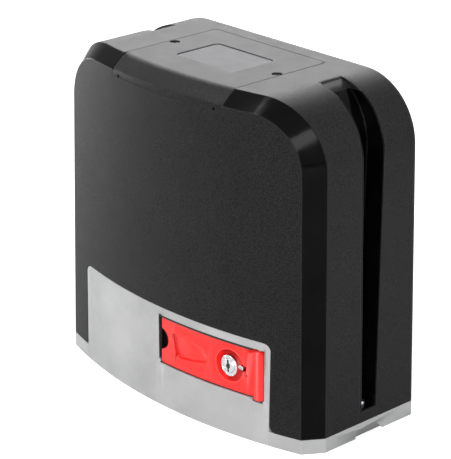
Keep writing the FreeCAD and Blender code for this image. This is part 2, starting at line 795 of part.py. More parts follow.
def make_base():
    """The die-cast base: floor, rim, front skirt with its window, upstand, bosses and slots."""
    rim = size("rim_height")
    floor = size("floor_thickness")
    tray = OUTSIDE.common(between(0, rim))
    tray = tray.cut(envelope(size("rim_wall")).common(between(floor, FAR)))
    wall = OUTSIDE.cut(envelope(size("skirt_wall")))
    skirt = wall.common(skirt_opening(0.0).fuse(
        Part.makeBox(2 * size("skirt_half_width"), FAR, size("skirt_height") / 2,
                     Vector(-size("skirt_half_width"), -FAR, 0))))
    skirt = skirt.common(Part.makeBox(2 * size("skirt_half_width"), FAR, FAR,
                                      Vector(-size("skirt_half_width"), -FAR, 0)))
    parts = [skirt]
    back = size("base_depth") / 2
    upstand = Part.makeBox(2 * size("nose_radius"), back, size("shaft_height") - size(
        "nose_radius") - 1, Vector(-size("nose_radius"), 0, 0))
    parts.append(upstand.common(wall))
    for share in (0.84, 0.50, 0.17):
        x = -share * size("skirt_half_width")
        face = front_y(x, 0) + size("skirt_wall") / 2
        gusset = slab([(x, face, floor / 2), (x, face + size("gusset_length"), floor / 2),
                       (x, face + size("gusset_length") / 2, size("gusset_height"))],
                      (size("gusset_thickness"), 0, 0))
        parts.append(gusset)
    for x, y in cover_screw_places():
        parts.append(Part.makeCylinder(size("screw_boss_radius"), rim - floor / 2,
                                       Vector(x, y, floor / 2)))
    for x in (-1, 1):
        for y in (-1, 1):
            spot = Vector(x * size("leveller_pitch_x") / 2, y * size("anchor_pitch_y") / 2, 0)
            parts.append(Part.makeCylinder(size("leveller_boss_radius"), rim, spot))
    pin_room = size("hinge_pin_radius") + 3
    for low, high in ((size("door_bottom") - 12, size("door_bottom")),
                      (size("door_top"), size("skirt_height") - 1)):
        boss = Part.makeCylinder(pin_room, high - low, Vector(size("hinge_x"), hinge_y(), low))
        parts.append(boss.common(OUTSIDE))
    for x, y in housing_pad_places():
        parts.append(Part.makeCylinder(size("housing_pad_radius"), size("housing_pad_height"),
                                       Vector(x, y, 0)))
    strike_half = size("lock_tongue_width") / 2
    strike_top = size("door_bottom") - size("door_gap")
    strike = Part.makeBox(2 * strike_half, size("strike_depth"), size("strike_height"),
                          Vector(size("lock_x") - strike_half, lock_face_y() + 2,
                                 strike_top - size("strike_height")))
    parts.append(strike.common(OUTSIDE))
    casting = tray.multiFuse(parts)
    casting = casting.cut([door_window(size("door_gap")), cam_room()])
    pin_hole = size("hinge_pin_radius") + size("hinge_pin_clearance")
    tools = [Part.makeCylinder(pin_hole, size("skirt_height") - size("door_bottom") + 7,
                               Vector(size("hinge_x"), hinge_y(), size("door_bottom") - 9))]
    half = size("anchor_slot_width") / 2
    run = size("anchor_slot_length") - 2 * half
    for x in (-1, 1):
        for y in (-1, 1):
            at = (x * size("anchor_pitch_x") / 2, y * size("anchor_pitch_y") / 2)
            tools.append(rounded_slot(at, half, run))
            spot = Vector(x * size("leveller_pitch_x") / 2, at[1], -1)
            tools.append(Part.makeCylinder(size("leveller_radius") + 0.1, FAR, spot))
    for side in (-1, 1):
        tools.append(rim_notch(side))
    for x, y in cover_screw_places():
        hole = size("cover_screw_radius") + size("screw_clearance")
        tools.append(Part.makeCylinder(hole, rim, Vector(x, y, floor / 2)))
    entry = Vector(size("cable_entry_x"), amount("cable_entry_y"), -1)
    tools.append(Part.makeCylinder(size("cable_entry_radius"), floor + 2, entry))
    for x, y in housing_pad_places():
        hole = size("housing_screw_radius") + size("screw_clearance")
        tools.append(Part.makeCylinder(hole, FAR, Vector(x, y, 2)))
    casting = casting.cut(tools)
    node("base_casting", shaped(casting.removeSplitter()))


def rounded_slot(at, half, run):
    """A slot through the floor, its long way along X."""
    low = Vector(at[0] - run / 2, at[1], -1)
    high = Vector(at[0] + run / 2, at[1], -1)
    middle = Part.makeBox(run, 2 * half, 20, Vector(at[0] - run / 2, at[1] - half, -1))
    return middle.fuse([Part.makeCylinder(half, 20, low), Part.makeCylinder(half, 20, high)])


def rim_notch(side):
    """A shallow notch with round upper corners in one flank of the rim, open below."""
    half = size("rim_notch_width") / 2
    height = size("rim_notch_height")
    centre = size("rim_notch_centre")
    start = size("base_width") / 2 - size("rim_notch_depth")
    block = Part.makeBox(FAR, 2 * half, height + 5, Vector(start, centre - half, -5))
    upper = [edge for edge in block.Edges
             if edge.BoundBox.XLength > 1 and edge.BoundBox.ZMin > height - 1]
    block = block.makeFillet(0.85 * height, upper)
    if side < 0:
        block = block.mirror(Vector(), Vector(1, 0, 0))
    return block


make_base()


levellers = []
for side_x in ("-", ""):
    for side_y in ("-", ""):
        at = (f"{side_x}leveller_pitch_x / 2", f"{side_y}anchor_pitch_y / 2", "0")
        levellers.append(cylinder("leveller_radius", "leveller_length", at))
node("levelling_screws", fuse(*levellers))

node("cable_grommet", turned([
    ("grommet_bore", "0.5"), ("cable_entry_radius - 0.2", "0.5"),
    ("cable_entry_radius - 0.2", "floor_thickness"),
    ("cable_entry_radius + grommet_flange", "floor_thickness"),
    ("cable_entry_radius + grommet_flange", "floor_thickness + 1.5"),
    ("grommet_bore + 2", "floor_thickness + 6"), ("grommet_bore", "floor_thickness + 6")],
    ("cable_entry_x", "cable_entry_y", "0")))


# ---------------------------------------------------------------- release door and its lock

def release_cam(low, thickness):
    """A cam whose radius shrinks in proportion to the swing, standing on a height.

    It holds the yoke in while the door is shut, and lets it come out as the door opens.
    """
    high_radius = size("release_cam_high")
    low_radius = size("release_cam_low")
    steps = 6
    lobe = []
    for step in range(steps + 1):
        angle = math.radians(size("door_swing") * step / steps)
        radius = low_radius + (high_radius - low_radius) * step / steps
        lobe.append(Vector(radius * math.cos(angle), radius * math.sin(angle), low))
    curve = Part.BSplineCurve()
    curve.interpolate(lobe)
    heel = Vector(-0.9 * size("hinge_barrel_radius"), 2, low)
    axis = Vector(0, 0, low)
    wire = Part.Wire([curve.toShape(), Part.makeLine(lobe[-1], heel), Part.makeLine(heel, axis),
                      Part.makeLine(axis, lobe[0])])
    cam = Part.Face(wire).extrude(Vector(0, 0, thickness))
    cam.translate(Vector(size("hinge_x"), hinge_y(), 0))
    return cam


def make_release_lever():
    """The bowed door: a plate with a thumb notch, a lock well, a hinge barrel and a cam."""
    recess = size("door_recess")
    low = size("door_bottom")
    height = size("door_top") - low
    plate = envelope(recess).cut(envelope(recess + size("door_thickness")))
    left = size("door_left")
    block = Part.makeBox(size("hinge_x") - left, FAR, height, Vector(left, -FAR, low))
    corners = [edge for edge in block.Edges
               if edge.BoundBox.YLength > 0.9 * FAR and edge.BoundBox.XMax < left + 1]
    plate = plate.common(block.makeFillet(size("door_corner_radius"), corners))
    tip = size("hinge_tip")
    barrel = Part.makeCylinder(size("hinge_barrel_radius"), height + tip,
                               Vector(size("hinge_x"), hinge_y(), low - tip))
    rims = [edge for edge in barrel.Edges if edge.BoundBox.ZLength < 0.1]
    barrel = barrel.makeChamfer(tip / 2, rims)
    middle = low + height / 2
    cam = release_cam(middle - size("release_cam_thickness") / 2, size("release_cam_thickness"))
    face_y = lock_face_y()
    well_floor = face_y + size("lock_recess_depth")
    socket = Part.makeCylinder(size("lock_recess_radius") + 2, size("door_thickness") + 2,
                               Vector(size("lock_x"), well_floor - 1.5, size("lock_height")),
                               Vector(0, 1, 0))
    socket = socket.common(between(low, size("door_top")))
    lever = plate.fuse([barrel, cam, socket.common(envelope(recess))])
    notch_x = size("door_left") + size("thumb_notch_depth") - size("thumb_notch_radius")
    notch = Part.makeCylinder(size("thumb_notch_radius"), 2 * FAR, Vector(notch_x, -FAR, middle),
                              Vector(0, 1, 0))
    lock_axis = Vector(size("lock_x"), -FAR, size("lock_height"))
    well = Part.makeCylinder(size("lock_recess_radius"), well_floor + FAR, lock_axis,
                             Vector(0, 1, 0))
    bore = Part.makeCylinder(size("lock_barrel_radius") + 0.1, 2 * FAR, lock_axis, Vector(0, 1, 0))
    pin_hole = Part.makeCylinder(size("hinge_pin_radius") + size("hinge_pin_clearance"), FAR,
                                 Vector(size("hinge_x"), hinge_y(), 0))
    node("release_lever", shaped(lever.cut([notch, well, bore, pin_hole]).removeSplitter()))


make_release_lever()
hinge_spot = [repr(round(value, 4)) for value in (size("hinge_x"), hinge_y())]
lock_spot = [repr(round(lock_face_y(), 4)), "lock_height"]
node("lever_hinge_pin", cylinder("hinge_pin_radius", "skirt_height - door_bottom + 5",
                                 ("hinge_x", hinge_spot[1], "door_bottom - 8")))

barrel_blank = turned([
    ("lock_plug_radius + lock_plug_clearance", "0"), ("lock_barrel_radius - 0.8", "0"),
    ("lock_barrel_radius", "0.8"), ("lock_barrel_radius", "lock_barrel_length"),
    ("lock_plug_radius + lock_plug_clearance", "lock_barrel_length")],
    ("lock_x", lock_spot[0], lock_spot[1]), "Y")
lug = box(("lock_barrel_radius + lock_lug_reach - lock_plug_radius - 1", "2", "lock_lug_height"),
          ("lock_x + lock_plug_radius + 1", f"{lock_spot[0]} + lock_recess_depth - 2",
           "lock_height - lock_lug_height * 0.7"))
node("lock_barrel", fuse(barrel_blank, lug))
plug_blank = turned([
    ("0", "-0.4"), ("lock_plug_radius - 0.4", "-0.4"), ("lock_plug_radius", "0"),
    ("lock_plug_radius", "lock_barrel_length + 0.3"), ("0", "lock_barrel_length + 0.3")],
    ("lock_x", lock_spot[0], lock_spot[1]), "Y")
keyway = box(("keyway_width", "6", "keyway_height"),
             ("lock_x - keyway_width / 2", f"{lock_spot[0]} - 1", "lock_height - keyway_height / 2"))
keyway_step = box(("keyway_width", "6", "keyway_height / 3"),
                  ("lock_x - keyway_width * 1.3", f"{lock_spot[0]} - 1", "lock_height - 1"))
node("lock_plug", cut(plug_blank, keyway, keyway_step))
tongue_back = f"{lock_spot[0]} + lock_barrel_length + 0.3"
tongue = fuse(
    box(("lock_tongue_length", "lock_tongue_thickness", "lock_tongue_width"),
        ("lock_x - lock_tongue_length", tongue_back, "lock_height - lock_tongue_width / 2")),
    cylinder("lock_barrel_radius - 1", "lock_tongue_thickness",
             ("lock_x", tongue_back, "lock_height"), "Y"))
node("lock_tongue", tongue)


# ---------------------------------------------------------------- clutch release

cam_top = f"{hinge_spot[1]} + release_cam_high + cam_gap"
door_middle = "(door_bottom + door_top) / 2"
yoke_front = f"{cam_top} + 3"


def make_yoke():
    """The flat bar that joins the cam follower to the clutch pin in the output shaft."""
    front = amount(yoke_front)
    half = size("yoke_width") / 2
    start = Vector(size("hinge_x"), front, amount(door_middle))
    end = Vector(0, front, size("shaft_height"))
    along = (end - start).normalize()
    across = Vector(-along.z, 0, along.x) * half
    bar = slab([start + across, end + across, end - across, start - across],
               (0, size("yoke_thickness"), 0))
    parts = [Part.makeCylinder(half, size("yoke_thickness"), spot, Vector(0, 1, 0))
             for spot in (start, end)]
    nose_radius = 1.5
    tip = amount(cam_top) + nose_radius
    nose_height = size("release_cam_thickness") - 2
    low = amount(door_middle) - nose_height / 2
    parts.append(Part.makeCylinder(nose_radius, nose_height, Vector(size("hinge_x"), tip, low)))
    parts.append(Part.makeBox(2 * nose_radius, front - tip, nose_height,
                              Vector(size("hinge_x") - nose_radius, tip, low)))
    node("release_yoke", shaped(bar.fuse(parts).removeSplitter()))


make_yoke()
node("clutch_pin", cylinder("clutch_pin_radius", "clutch_pin_length",
                            ("0", f"{yoke_front} + yoke_thickness", "shaft_height"), "Y"))


def make_release_spring():
    """A short spring of square wire round the clutch pin, between the yoke and the gear cover."""
    wire = size("release_spring_wire")
    start = amount(yoke_front) + size("yoke_thickness") + 0.3 + wire
    end = -size("housing_half_depth") - size("cover_plate_thickness") - 0.3 - wire
    radius = size("release_spring_radius")
    coil = Part.makeHelix((end - start) / size("release_spring_turns"), end - start, radius)
    section = polygon([(radius - wire, 0, -wire), (radius + wire, 0, -wire),
                       (radius + wire, 0, wire), (radius - wire, 0, wire)])
    spring = Part.Wire(coil).makePipeShell([section], True, True)
    spring = Part.Solid(spring) if spring.ShapeType == "Shell" else spring
    spring.rotate(Vector(), Vector(1, 0, 0), -90)
    spring.translate(Vector(0, start, size("shaft_height")))
    node("release_spring", shaped(spring))


make_release_spring()


# ---------------------------------------------------------------- toothed parts

def gear_wire(module, teeth, thinning, along, turn):
    """One closed involute tooth outline about +Y, at a depth and turned by an angle."""
    pitch = module * teeth / 2
    base = pitch * math.cos(math.radians(20))
    tip = pitch + module
    root = pitch - 1.25 * module
    start = max(base, root)

    def spread(radius):
        """The involute angle from the tooth flank's base to a radius."""
        slope = math.sqrt(max((radius / base) ** 2 - 1, 0.0))
        return slope - math.atan(slope)

    half = math.pi / (2 * teeth) - thinning / (2 * pitch) + spread(pitch)

    def at(radius, angle):
        return Vector(radius * math.cos(angle + turn), along, -radius * math.sin(angle + turn))

    radii = [start + (tip - start) * step / 4 for step in range(5)]
    edges = []
    for tooth in range(int(teeth)):
        middle = 2 * math.pi * (tooth + 0.5) / teeth
        following = middle + 2 * math.pi / teeth
        rising = [at(radius, middle - half + spread(radius)) for radius in radii]
        falling = [at(radius, middle + half - spread(radius)) for radius in reversed(radii)]
        valley = 2 * math.pi / teeth - half
        for points in (rising, falling):
            flank = Part.BSplineCurve()
            flank.interpolate(points)
            edges.append(flank.toShape())
        edges.append(Part.Arc(rising[-1], at(tip, middle), falling[0]).toShape())
        dip = [falling[-1], at(root, middle + half), at(root, following - half),
               at(start, following - half)]
        if start - root > 0.01:
            edges.append(Part.makeLine(dip[0], dip[1]))
            edges.append(Part.makeLine(dip[2], dip[3]))
            edges.append(Part.Arc(dip[1], at(root, middle + math.pi / teeth), dip[2]).toShape())
        else:
            edges.append(Part.Arc(dip[0], at(root, middle + math.pi / teeth), dip[3]).toShape())
    return Part.Wire(Part.__sortEdges__(edges))


def axle(radius, start, end):
    """A round solid along the output shaft's axis."""
    return Part.makeCylinder(radius, end - start, Vector(0, start, 0), Vector(0, 1, 0))


def make_pinion():
    """The straight-toothed pinion that drives the rack on the gate."""
    start = size("pinion_start")
    end = start + size("pinion_width")
    outline_wire = gear_wire(size("pinion_module"), size("pinion_teeth"), 0.2, start, 0.0)
    blank = Part.Face(outline_wire).extrude(Vector(0, end - start, 0))
    pinion = blank.cut(axle(size("shaft_radius") + size("bearing_clearance"), start - 1, end + 1))
    pinion.translate(Vector(0, 0, size("shaft_height")))
    node("output_pinion", shaped(pinion))


def worm_slope():
    """How far the thread climbs for each millimetre round the worm's pitch circle."""
    return size("worm_module") / (2 * size("worm_pitch_radius"))


def make_worm_wheel():
    """The bronze wheel: teeth that lean like the worm's thread, on a broad hub."""
    pitch = size("worm_module") * size("wheel_teeth") / 2
    half = size("wheel_width") / 2
    lean = worm_slope() * half / pitch
    thinning = size("tooth_backlash") / 2
    sections = [gear_wire(size("worm_module"), size("wheel_teeth"), thinning, side * half,
                          side * lean) for side in (-1, 1)]
    rim = Part.makeLoft(sections, True, True)
    hub_half = size("wheel_hub_width") / 2
    wheel = rim.fuse(axle(size("wheel_hub_radius"), -hub_half, hub_half))
    wheel = wheel.cut(axle(size("shaft_radius") + size("bearing_clearance"), -FAR, FAR))
    wheel.translate(Vector(0, 0, size("shaft_height")))
    node("worm_wheel", shaped(wheel))


def motor_x():
    """The motor stands beside the output shaft, one worm centre distance away."""
    return -(size("worm_module") * size("wheel_teeth") / 2 + size("worm_pitch_radius"))


def make_rotor_shaft():
    """The steel shaft with its worm thread cut below the motor."""
    lead = math.pi * size("worm_module")
    pitch = size("worm_pitch_radius")
    root = size("worm_root_radius")
    tip = pitch + size("worm_module")
    length = size("worm_length")
    slope = math.tan(math.radians(20))
    half = (lead - size("tooth_backlash")) / 4
    inner = root - 0.5
    corners = [(inner, -half - (pitch - inner) * slope), (tip, -half + (tip - pitch) * slope),
               (tip, half - (tip - pitch) * slope), (inner, half + (pitch - inner) * slope)]
    thread_length = length - 2 * (half + (pitch - inner) * slope) - 0.2
    coil = Part.makeHelix(lead, thread_length, pitch)
    section = polygon([(x, 0, z) for x, z in corners])
    thread = Part.Wire(coil).makePipeShell([section], True, True)
    thread.rotate(Vector(), Vector(0, 0, 1), -180 * (thread_length / lead))
    thread.translate(Vector(0, 0, -thread_length / 2))
    bearing = size("rotor_shaft_radius")
    low = size("rotor_bearing_low_start") + 0.5 - size("shaft_height")
    high = motor_top() + size("rotor_bearing_width") + 1 - size("shaft_height")
    seat = size("rotor_bearing_low_start") + size("rotor_bearing_width") - size("shaft_height")
    upper = size("motor_flange_height") - size("rotor_bearing_width") - size("shaft_height")
    shaft = Part.makeCylinder(bearing, high - low, Vector(0, 0, low))
    stem = Part.makeCylinder(root, upper - seat - 0.6, Vector(0, 0, seat + 0.3))
    shaft = shaft.fuse(stem).fuse(thread)
    shaft.translate(Vector(motor_x(), 0, size("shaft_height")))
    node("rotor_shaft", shaped(shaft))


def motor_top():
    return amount("motor_flange_height + motor_height")


make_pinion()
make_worm_wheel()
make_rotor_shaft()

pinion_end = "pinion_start + pinion_width"
node("output_shaft", turned([
    ("shaft_bore_radius", "shaft_front"), ("shaft_radius", "shaft_front"),
    ("shaft_radius", "wheel_hub_width / 2 + 0.1"),
    ("shaft_collar_radius", "wheel_hub_width / 2 + 0.1"),
    ("shaft_collar_radius", "back_bearing_start - 0.2"), ("shaft_radius", "back_bearing_start - 0.2"),
    ("shaft_radius", "nose_end + 0.7"), ("shaft_collar_radius", "nose_end + 0.7"),
    ("shaft_collar_radius", "pinion_start"), ("shaft_radius", "pinion_start"),
    ("shaft_radius", f"{pinion_end} - 0.5"), ("pinion_bolt_radius + 0.1", f"{pinion_end} - 0.5"),
    ("pinion_bolt_radius + 0.1", f"{pinion_end} - pinion_bolt_length - 1"),
    ("0", f"{pinion_end} - pinion_bolt_length - 1"), ("0", "shaft_front + 40"),
    ("shaft_bore_radius", "shaft_front + 40")], ("0", "0", "shaft_height"), "Y"))
node("pinion_washer", turned([
    ("pinion_bolt_radius + 0.1", "0"), ("pinion_washer_radius", "0"),
    ("pinion_washer_radius", "pinion_washer_thickness"),
    ("pinion_bolt_radius + 0.1", "pinion_washer_thickness")], ("0", pinion_end, "shaft_height"), "Y"))


def hexagon_head(radius, height, at, axis):
    """A six-sided bolt head, its size taken across the corners."""
    body = doc.addObject("PartDesign::Body", "Head")
    corners = []
    for corner in range(6):
        angle = math.radians(60 * corner)
        corners.append((f"({radius}) * {math.cos(angle):.6f}", f"({radius}) * {math.sin(angle):.6f}"))
    pad(body, outline(body, "XY_Plane", corners), height)
    return place(body, at, axis)


node("pinion_bolt", fuse(
    hexagon_head("pinion_bolt_head_radius * 1.1547", "pinion_bolt_head_height",
                 ("0", f"{pinion_end} + pinion_washer_thickness", "shaft_height"), "Y"),
    cylinder("pinion_bolt_radius", "pinion_bolt_length",
             ("0", f"{pinion_end} + pinion_washer_thickness - pinion_bolt_length", "shaft_height"),
             "Y")))


def bearing(label, bore, outer, width, at, axis):
    """A sealed ball bearing drawn as one turned ring with shallow shields."""
    inner = f"({bore}) + bearing_clearance / 2"
    rim = f"({outer}) - bearing_clearance / 2"
    lands = (f"({bore}) + 3", f"({outer}) - 3")
    node(label, turned([
        (inner, "0"), (lands[0], "0"), (lands[0], "0.8"), (lands[1], "0.8"), (lands[1], "0"),
        (rim, "0"), (rim, width), (lands[1], width), (lands[1], f"({width}) - 0.8"),
        (lands[0], f"({width}) - 0.8"), (lands[0], width), (inner, width)], at, axis))


front_bearing_start = "-wheel_hub_width / 2 - 0.2 - shaft_bearing_width"
bearing("front_shaft_bearing", "shaft_radius", "front_bearing_outer_radius",
        "shaft_bearing_width", ("0", front_bearing_start, "shaft_height"), "Y")
bearing("back_shaft_bearing", "shaft_radius", "back_bearing_outer_radius",
        "shaft_bearing_width", ("0", "back_bearing_start", "shaft_height"), "Y")
node("shaft_seal", turned([
    ("shaft_radius + 0.05", "2"), ("shaft_radius + 2", "0"), ("back_bearing_outer_radius", "0"),
    ("back_bearing_outer_radius", "seal_width"), ("shaft_radius + 2", "seal_width"),
    ("shaft_radius + 0.05", "seal_width - 2")], ("0", "seal_start", "shaft_height"), "Y"))

motor_axis = "-(worm_module * wheel_teeth / 2 + worm_pitch_radius)"
motor_end = "motor_flange_height + motor_height"
rotor_bearings = (("lower_rotor_bearing", "rotor_bearing_low_start"),
                  ("middle_rotor_bearing", "motor_flange_height - rotor_bearing_width"),
                  ("upper_rotor_bearing", motor_end))
for label, height in rotor_bearings:
    bearing(label, "rotor_shaft_radius", "rotor_bearing_outer_radius", "rotor_bearing_width",
            (motor_axis, "0", height), "Z")


# ---------------------------------------------------------------- gear housing

def across(radius, start, end):
    """A round tool along the output shaft's axis, bound to the sheet."""
    return cylinder(radius, f"({end}) - ({start})", ("0", start, "shaft_height"), "Y")


def upright(radius, start, end, at=(motor_axis, "0")):
    """A round tool standing on a height, bound to the sheet."""
    return cylinder(radius, f"({end}) - ({start})", (at[0], at[1], start))


def ear_places(reach):
    """The four places round the motor where its long screws pass."""
    step = f"({reach}) * {math.sqrt(0.5):.6f}"
    return [(f"{motor_axis} {sx} {step}", f"{sy}{step}") for sx in "+-" for sy in ("", "-")]


drum = "wheel_room_radius + housing_wall"
tower = "worm_room_radius + housing_wall"
foot_low = "housing_pad_height"
foot_high = "housing_pad_height + housing_foot_height"
foot_reach = "housing_pad_right - housing_pad_left + 2 * housing_pad_radius + 6"
outer_forms = [
    across(drum, "-housing_half_depth", "housing_half_depth"),
    across("nose_radius", "housing_half_depth - 1", "nose_end"),
    upright(tower, foot_low, "motor_flange_height"),
    upright("motor_radius", "motor_flange_height - motor_flange_thickness", "motor_flange_height"),
    box((foot_reach, "2 * housing_pad_y + 2 * housing_pad_radius + 2", "housing_foot_height"),
        ("housing_pad_left - housing_pad_radius - 3", "-housing_pad_y - housing_pad_radius - 1",
         foot_low)),
    box(("wheel_room_radius + worm_pitch_radius", "2 * housing_half_depth - 6", "shaft_height / 2"),
        ("-wheel_room_radius / 2", "-housing_half_depth + 3", foot_low)),
]
for at in ear_places("motor_ear_circle"):
    outer_forms.append(upright("motor_ear_radius", "motor_flange_height - motor_flange_thickness",
                               "motor_flange_height", at))
rooms = [
    across("wheel_room_radius", "-housing_half_depth - 1", "wheel_hub_width / 2 + 8"),
    across("shaft_collar_radius + 2", "0", "nose_end"),
    across("back_bearing_outer_radius + bearing_clearance / 2", "back_bearing_start", "nose_end + 1"),
    upright("worm_room_radius", "rotor_bearing_low_start + rotor_bearing_width",
            "motor_flange_height - rotor_bearing_width"),
    upright("rotor_bearing_outer_radius + bearing_clearance / 2", "rotor_bearing_low_start",
            "motor_flange_height + 1"),
]
for at in ear_places("motor_ear_circle"):
    rooms.append(upright("small_screw_radius + screw_clearance",
                         "motor_flange_height - motor_flange_thickness - 1",
                         "motor_flange_height + 1", at))
pad_places = [(column, f"{side}housing_pad_y") for column in ("housing_pad_left",
              "housing_pad_right") for side in ("-", "")]
for at in pad_places:
    rooms.append(upright("housing_screw_radius + screw_clearance", "0", "shaft_height", at))
plate_screws = []
for turn in range(int(size("cover_plate_screw_count"))):
    angle = 2 * math.pi * (turn + 0.5) / size("cover_plate_screw_count")
    circle = "(wheel_room_radius + housing_wall / 2)"
    plate_screws.append((f"{circle} * {math.cos(angle):.6f}",
                         f"shaft_height + {circle} * {math.sin(angle):.6f}"))
for x, z in plate_screws:
    rooms.append(cylinder("small_screw_radius + screw_clearance", "small_screw_length + 1",
                          (x, "-housing_half_depth - 1", z), "Y"))
node("gear_housing", cut(fuse(*outer_forms), *rooms))

plate_front = "-housing_half_depth - cover_plate_thickness"
plate_forms = fuse(across(drum, plate_front, "-housing_half_depth"),
                   across("front_bearing_outer_radius + 4", plate_front,
                          "-wheel_hub_width / 2 - 0.4"))
plate_rooms = [
    across("front_bearing_outer_radius + bearing_clearance / 2", front_bearing_start, "0"),
    across("shaft_radius + 1", "shaft_front - 0.5", "0"),
    across("clutch_pin_radius + 0.4", f"{plate_front} - 1", "0"),
]
for x, z in plate_screws:
    plate_rooms.append(cylinder("small_screw_radius + screw_clearance", "cover_plate_thickness + 2",
                                (x, f"{plate_front} - 1", z), "Y"))
node("gear_housing_cover", cut(plate_forms, *plate_rooms))


def pan_screw(length, at, axis):
    """A small pan-head screw; its own Z runs out through the head."""
    return turned([("0", f"-({length})"), ("small_screw_radius", f"-({length})"),
                   ("small_screw_radius", "0"), ("small_screw_head_radius", "0"),
                   ("small_screw_head_radius", "small_screw_head_height * 0.6"),
                   ("small_screw_head_radius * 0.6", "small_screw_head_height"),
                   ("0", "small_screw_head_height")], at, axis)


node("gear_cover_screws", fuse(*[
    pan_screw("small_screw_length + cover_plate_thickness - 1", (x, plate_front, z), "-Y")
    for x, z in plate_screws]))
node("gear_housing_screws", fuse(*[
    screw("housing_screw_radius", "housing_screw_length", "housing_screw_radius * 1.7",
          "housing_screw_radius", (x, y, foot_high), slot=False) for x, y in pad_places]))


# ---------------------------------------------------------------- electric motor

stator_outer = "motor_radius - motor_wall"
shell_forms = [upright("motor_radius", "motor_flange_height", motor_end)]
for at in ear_places("motor_ear_circle"):
    shell_forms.append(upright("motor_ear_radius", "motor_flange_height", motor_end, at))
for fin in range(int(size("fin_count"))):
    rib = box(("2 * motor_radius + 2 * fin_height", "2", "motor_height - 20"),
              ("0", "0", "motor_flange_height + 10"))
    angle = 180.0 * (fin + 0.5) / size("fin_count")
    turn = Rotation(Vector(0, 0, 1), angle)
    rib.Placement = FreeCAD.Placement(Vector(), turn)
    reach = "(motor_radius + fin_height)"
    sine = math.sin(math.radians(angle))
    cosine = math.cos(math.radians(angle))
    rib.setExpression("Placement.Base.x", cells(f"{motor_axis} - {reach} * {cosine:.6f} + {sine:.6f}"))
    rib.setExpression("Placement.Base.y", cells(f"-{reach} * {sine:.6f} - {cosine:.6f}"))
    rib.setExpression("Placement.Base.z", cells("motor_flange_height + 10"))
    shell_forms.append(rib)
shell_rooms = [upright(stator_outer, "motor_flange_height - 1", f"{motor_end} + 1")]
for at in ear_places("motor_ear_circle"):
    shell_rooms.append(upright("small_screw_radius + screw_clearance", "motor_flange_height - 1",
                               f"{motor_end} + 1", at))
node("motor_housing", cut(fuse(*shell_forms), *shell_rooms))


def ring(label, inner, outer, height, start):
    """A plain turned ring standing round the motor axis."""
    node(label, turned([(inner, "0"), (outer, "0"), (outer, height), (inner, height)],
                       (motor_axis, "0", start)))


core_start = "motor_flange_height + winding_gap + winding_height"
ring("stator_core", "stator_bore_radius", f"{stator_outer} - 0.05", "core_height", core_start)
ring("rotor_core", "rotor_shaft_radius + bearing_clearance", "stator_bore_radius - air_gap",
     "core_height", core_start)
coils = [turned([("winding_inner_radius + 2", "0"), ("winding_outer_radius - 2", "0"),
                 ("winding_outer_radius", "2"), ("winding_outer_radius", "winding_height - 2"),
                 ("winding_outer_radius - 2", "winding_height"),
                 ("winding_inner_radius + 2", "winding_height"),
                 ("winding_inner_radius", "winding_height - 2"), ("winding_inner_radius", "2")],
                (motor_axis, "0", start))
         for start in (f"{core_start} - winding_height", f"{core_start} + core_height")]
node("stator_windings", fuse(*coils))
cap_forms = [turned([
    ("0", "rotor_bearing_width + 2"), ("rotor_bearing_outer_radius - 3", "rotor_bearing_width + 2"),
    ("rotor_bearing_outer_radius - 3", "rotor_bearing_width"),
    ("rotor_bearing_outer_radius + bearing_clearance / 2", "rotor_bearing_width"),
    ("rotor_bearing_outer_radius + bearing_clearance / 2", "0"),
    ("rotor_bearing_outer_radius + 5", "0"), ("rotor_bearing_outer_radius + 5", "end_cap_height / 2"),
    ("motor_radius - 6", "end_cap_height / 2"), ("motor_radius - 6", "0"), ("motor_radius", "0"),
    ("motor_radius", "end_cap_height - 3"), ("motor_radius - 3", "end_cap_height"),
    ("0", "end_cap_height")], (motor_axis, "0", motor_end))]
cap_rooms = []
for at in ear_places("motor_ear_circle"):
    cap_forms.append(upright("motor_ear_radius", motor_end, f"{motor_end} + end_cap_height / 2", at))
    cap_rooms.append(upright("small_screw_radius + screw_clearance", f"{motor_end} - 1",
                             f"{motor_end} + end_cap_height / 2 + 1", at))
    cap_rooms.append(upright("small_screw_head_radius + 0.5", f"{motor_end} + end_cap_height / 2",
                             f"{motor_end} + end_cap_height + 1", at))
node("motor_end_cap", cut(fuse(*cap_forms), *cap_rooms))
node("motor_screws", fuse(*[
    pan_screw("motor_height + end_cap_height / 2 + motor_flange_thickness - 1",
              (at[0], at[1], f"{motor_end} + end_cap_height / 2"), "Z")
    for at in ear_places("motor_ear_circle")]))


# ---------------------------------------------------------------- control electronics

cap_top = f"{motor_end} + end_cap_height"
tray_left = "tray_shift - tray_width / 2"
tray_body = cut(
    box(("tray_width", "tray_depth", "tray_thickness + tray_rim"),
        (tray_left, "-tray_depth / 2", "tray_height")),
    box(("tray_width - 4", "tray_depth - 4", "tray_rim + 1"),
        (f"{tray_left} + 2", "-tray_depth / 2 + 2", "tray_height + tray_thickness")))
capacitor_z = "tray_height - clip_thickness - capacitor_radius - 0.3"
tray_parts = [tray_body]
for side_x in "-+":
    for side_y in ("-", ""):
        at = (f"{motor_axis} {side_x} tray_leg_spread", f"{side_y}tray_leg_spread")
        tray_parts.append(upright("tray_leg_radius", cap_top, "tray_height + 1", at))
for share in ("0.25", "0.75"):
    clip_at = f"capacitor_start + {share} * capacitor_height - clip_width / 2"
    hoop = cut(cylinder("capacitor_radius + 0.3 + clip_thickness", "clip_width",
                        (clip_at, "capacitor_shift", capacitor_z), "X"),
               cylinder("capacitor_radius + 0.3", "clip_width + 2",
                        (f"{clip_at} - 1", "capacitor_shift", capacitor_z), "X"))
    tray_parts.append(hoop)
    tray_parts.append(box(("clip_width", "10", "clip_thickness + 1"),
                          (clip_at, "capacitor_shift - 5", "tray_height - clip_thickness + 0.2")))
board_low = "tray_height + tray_thickness + board_standoff"
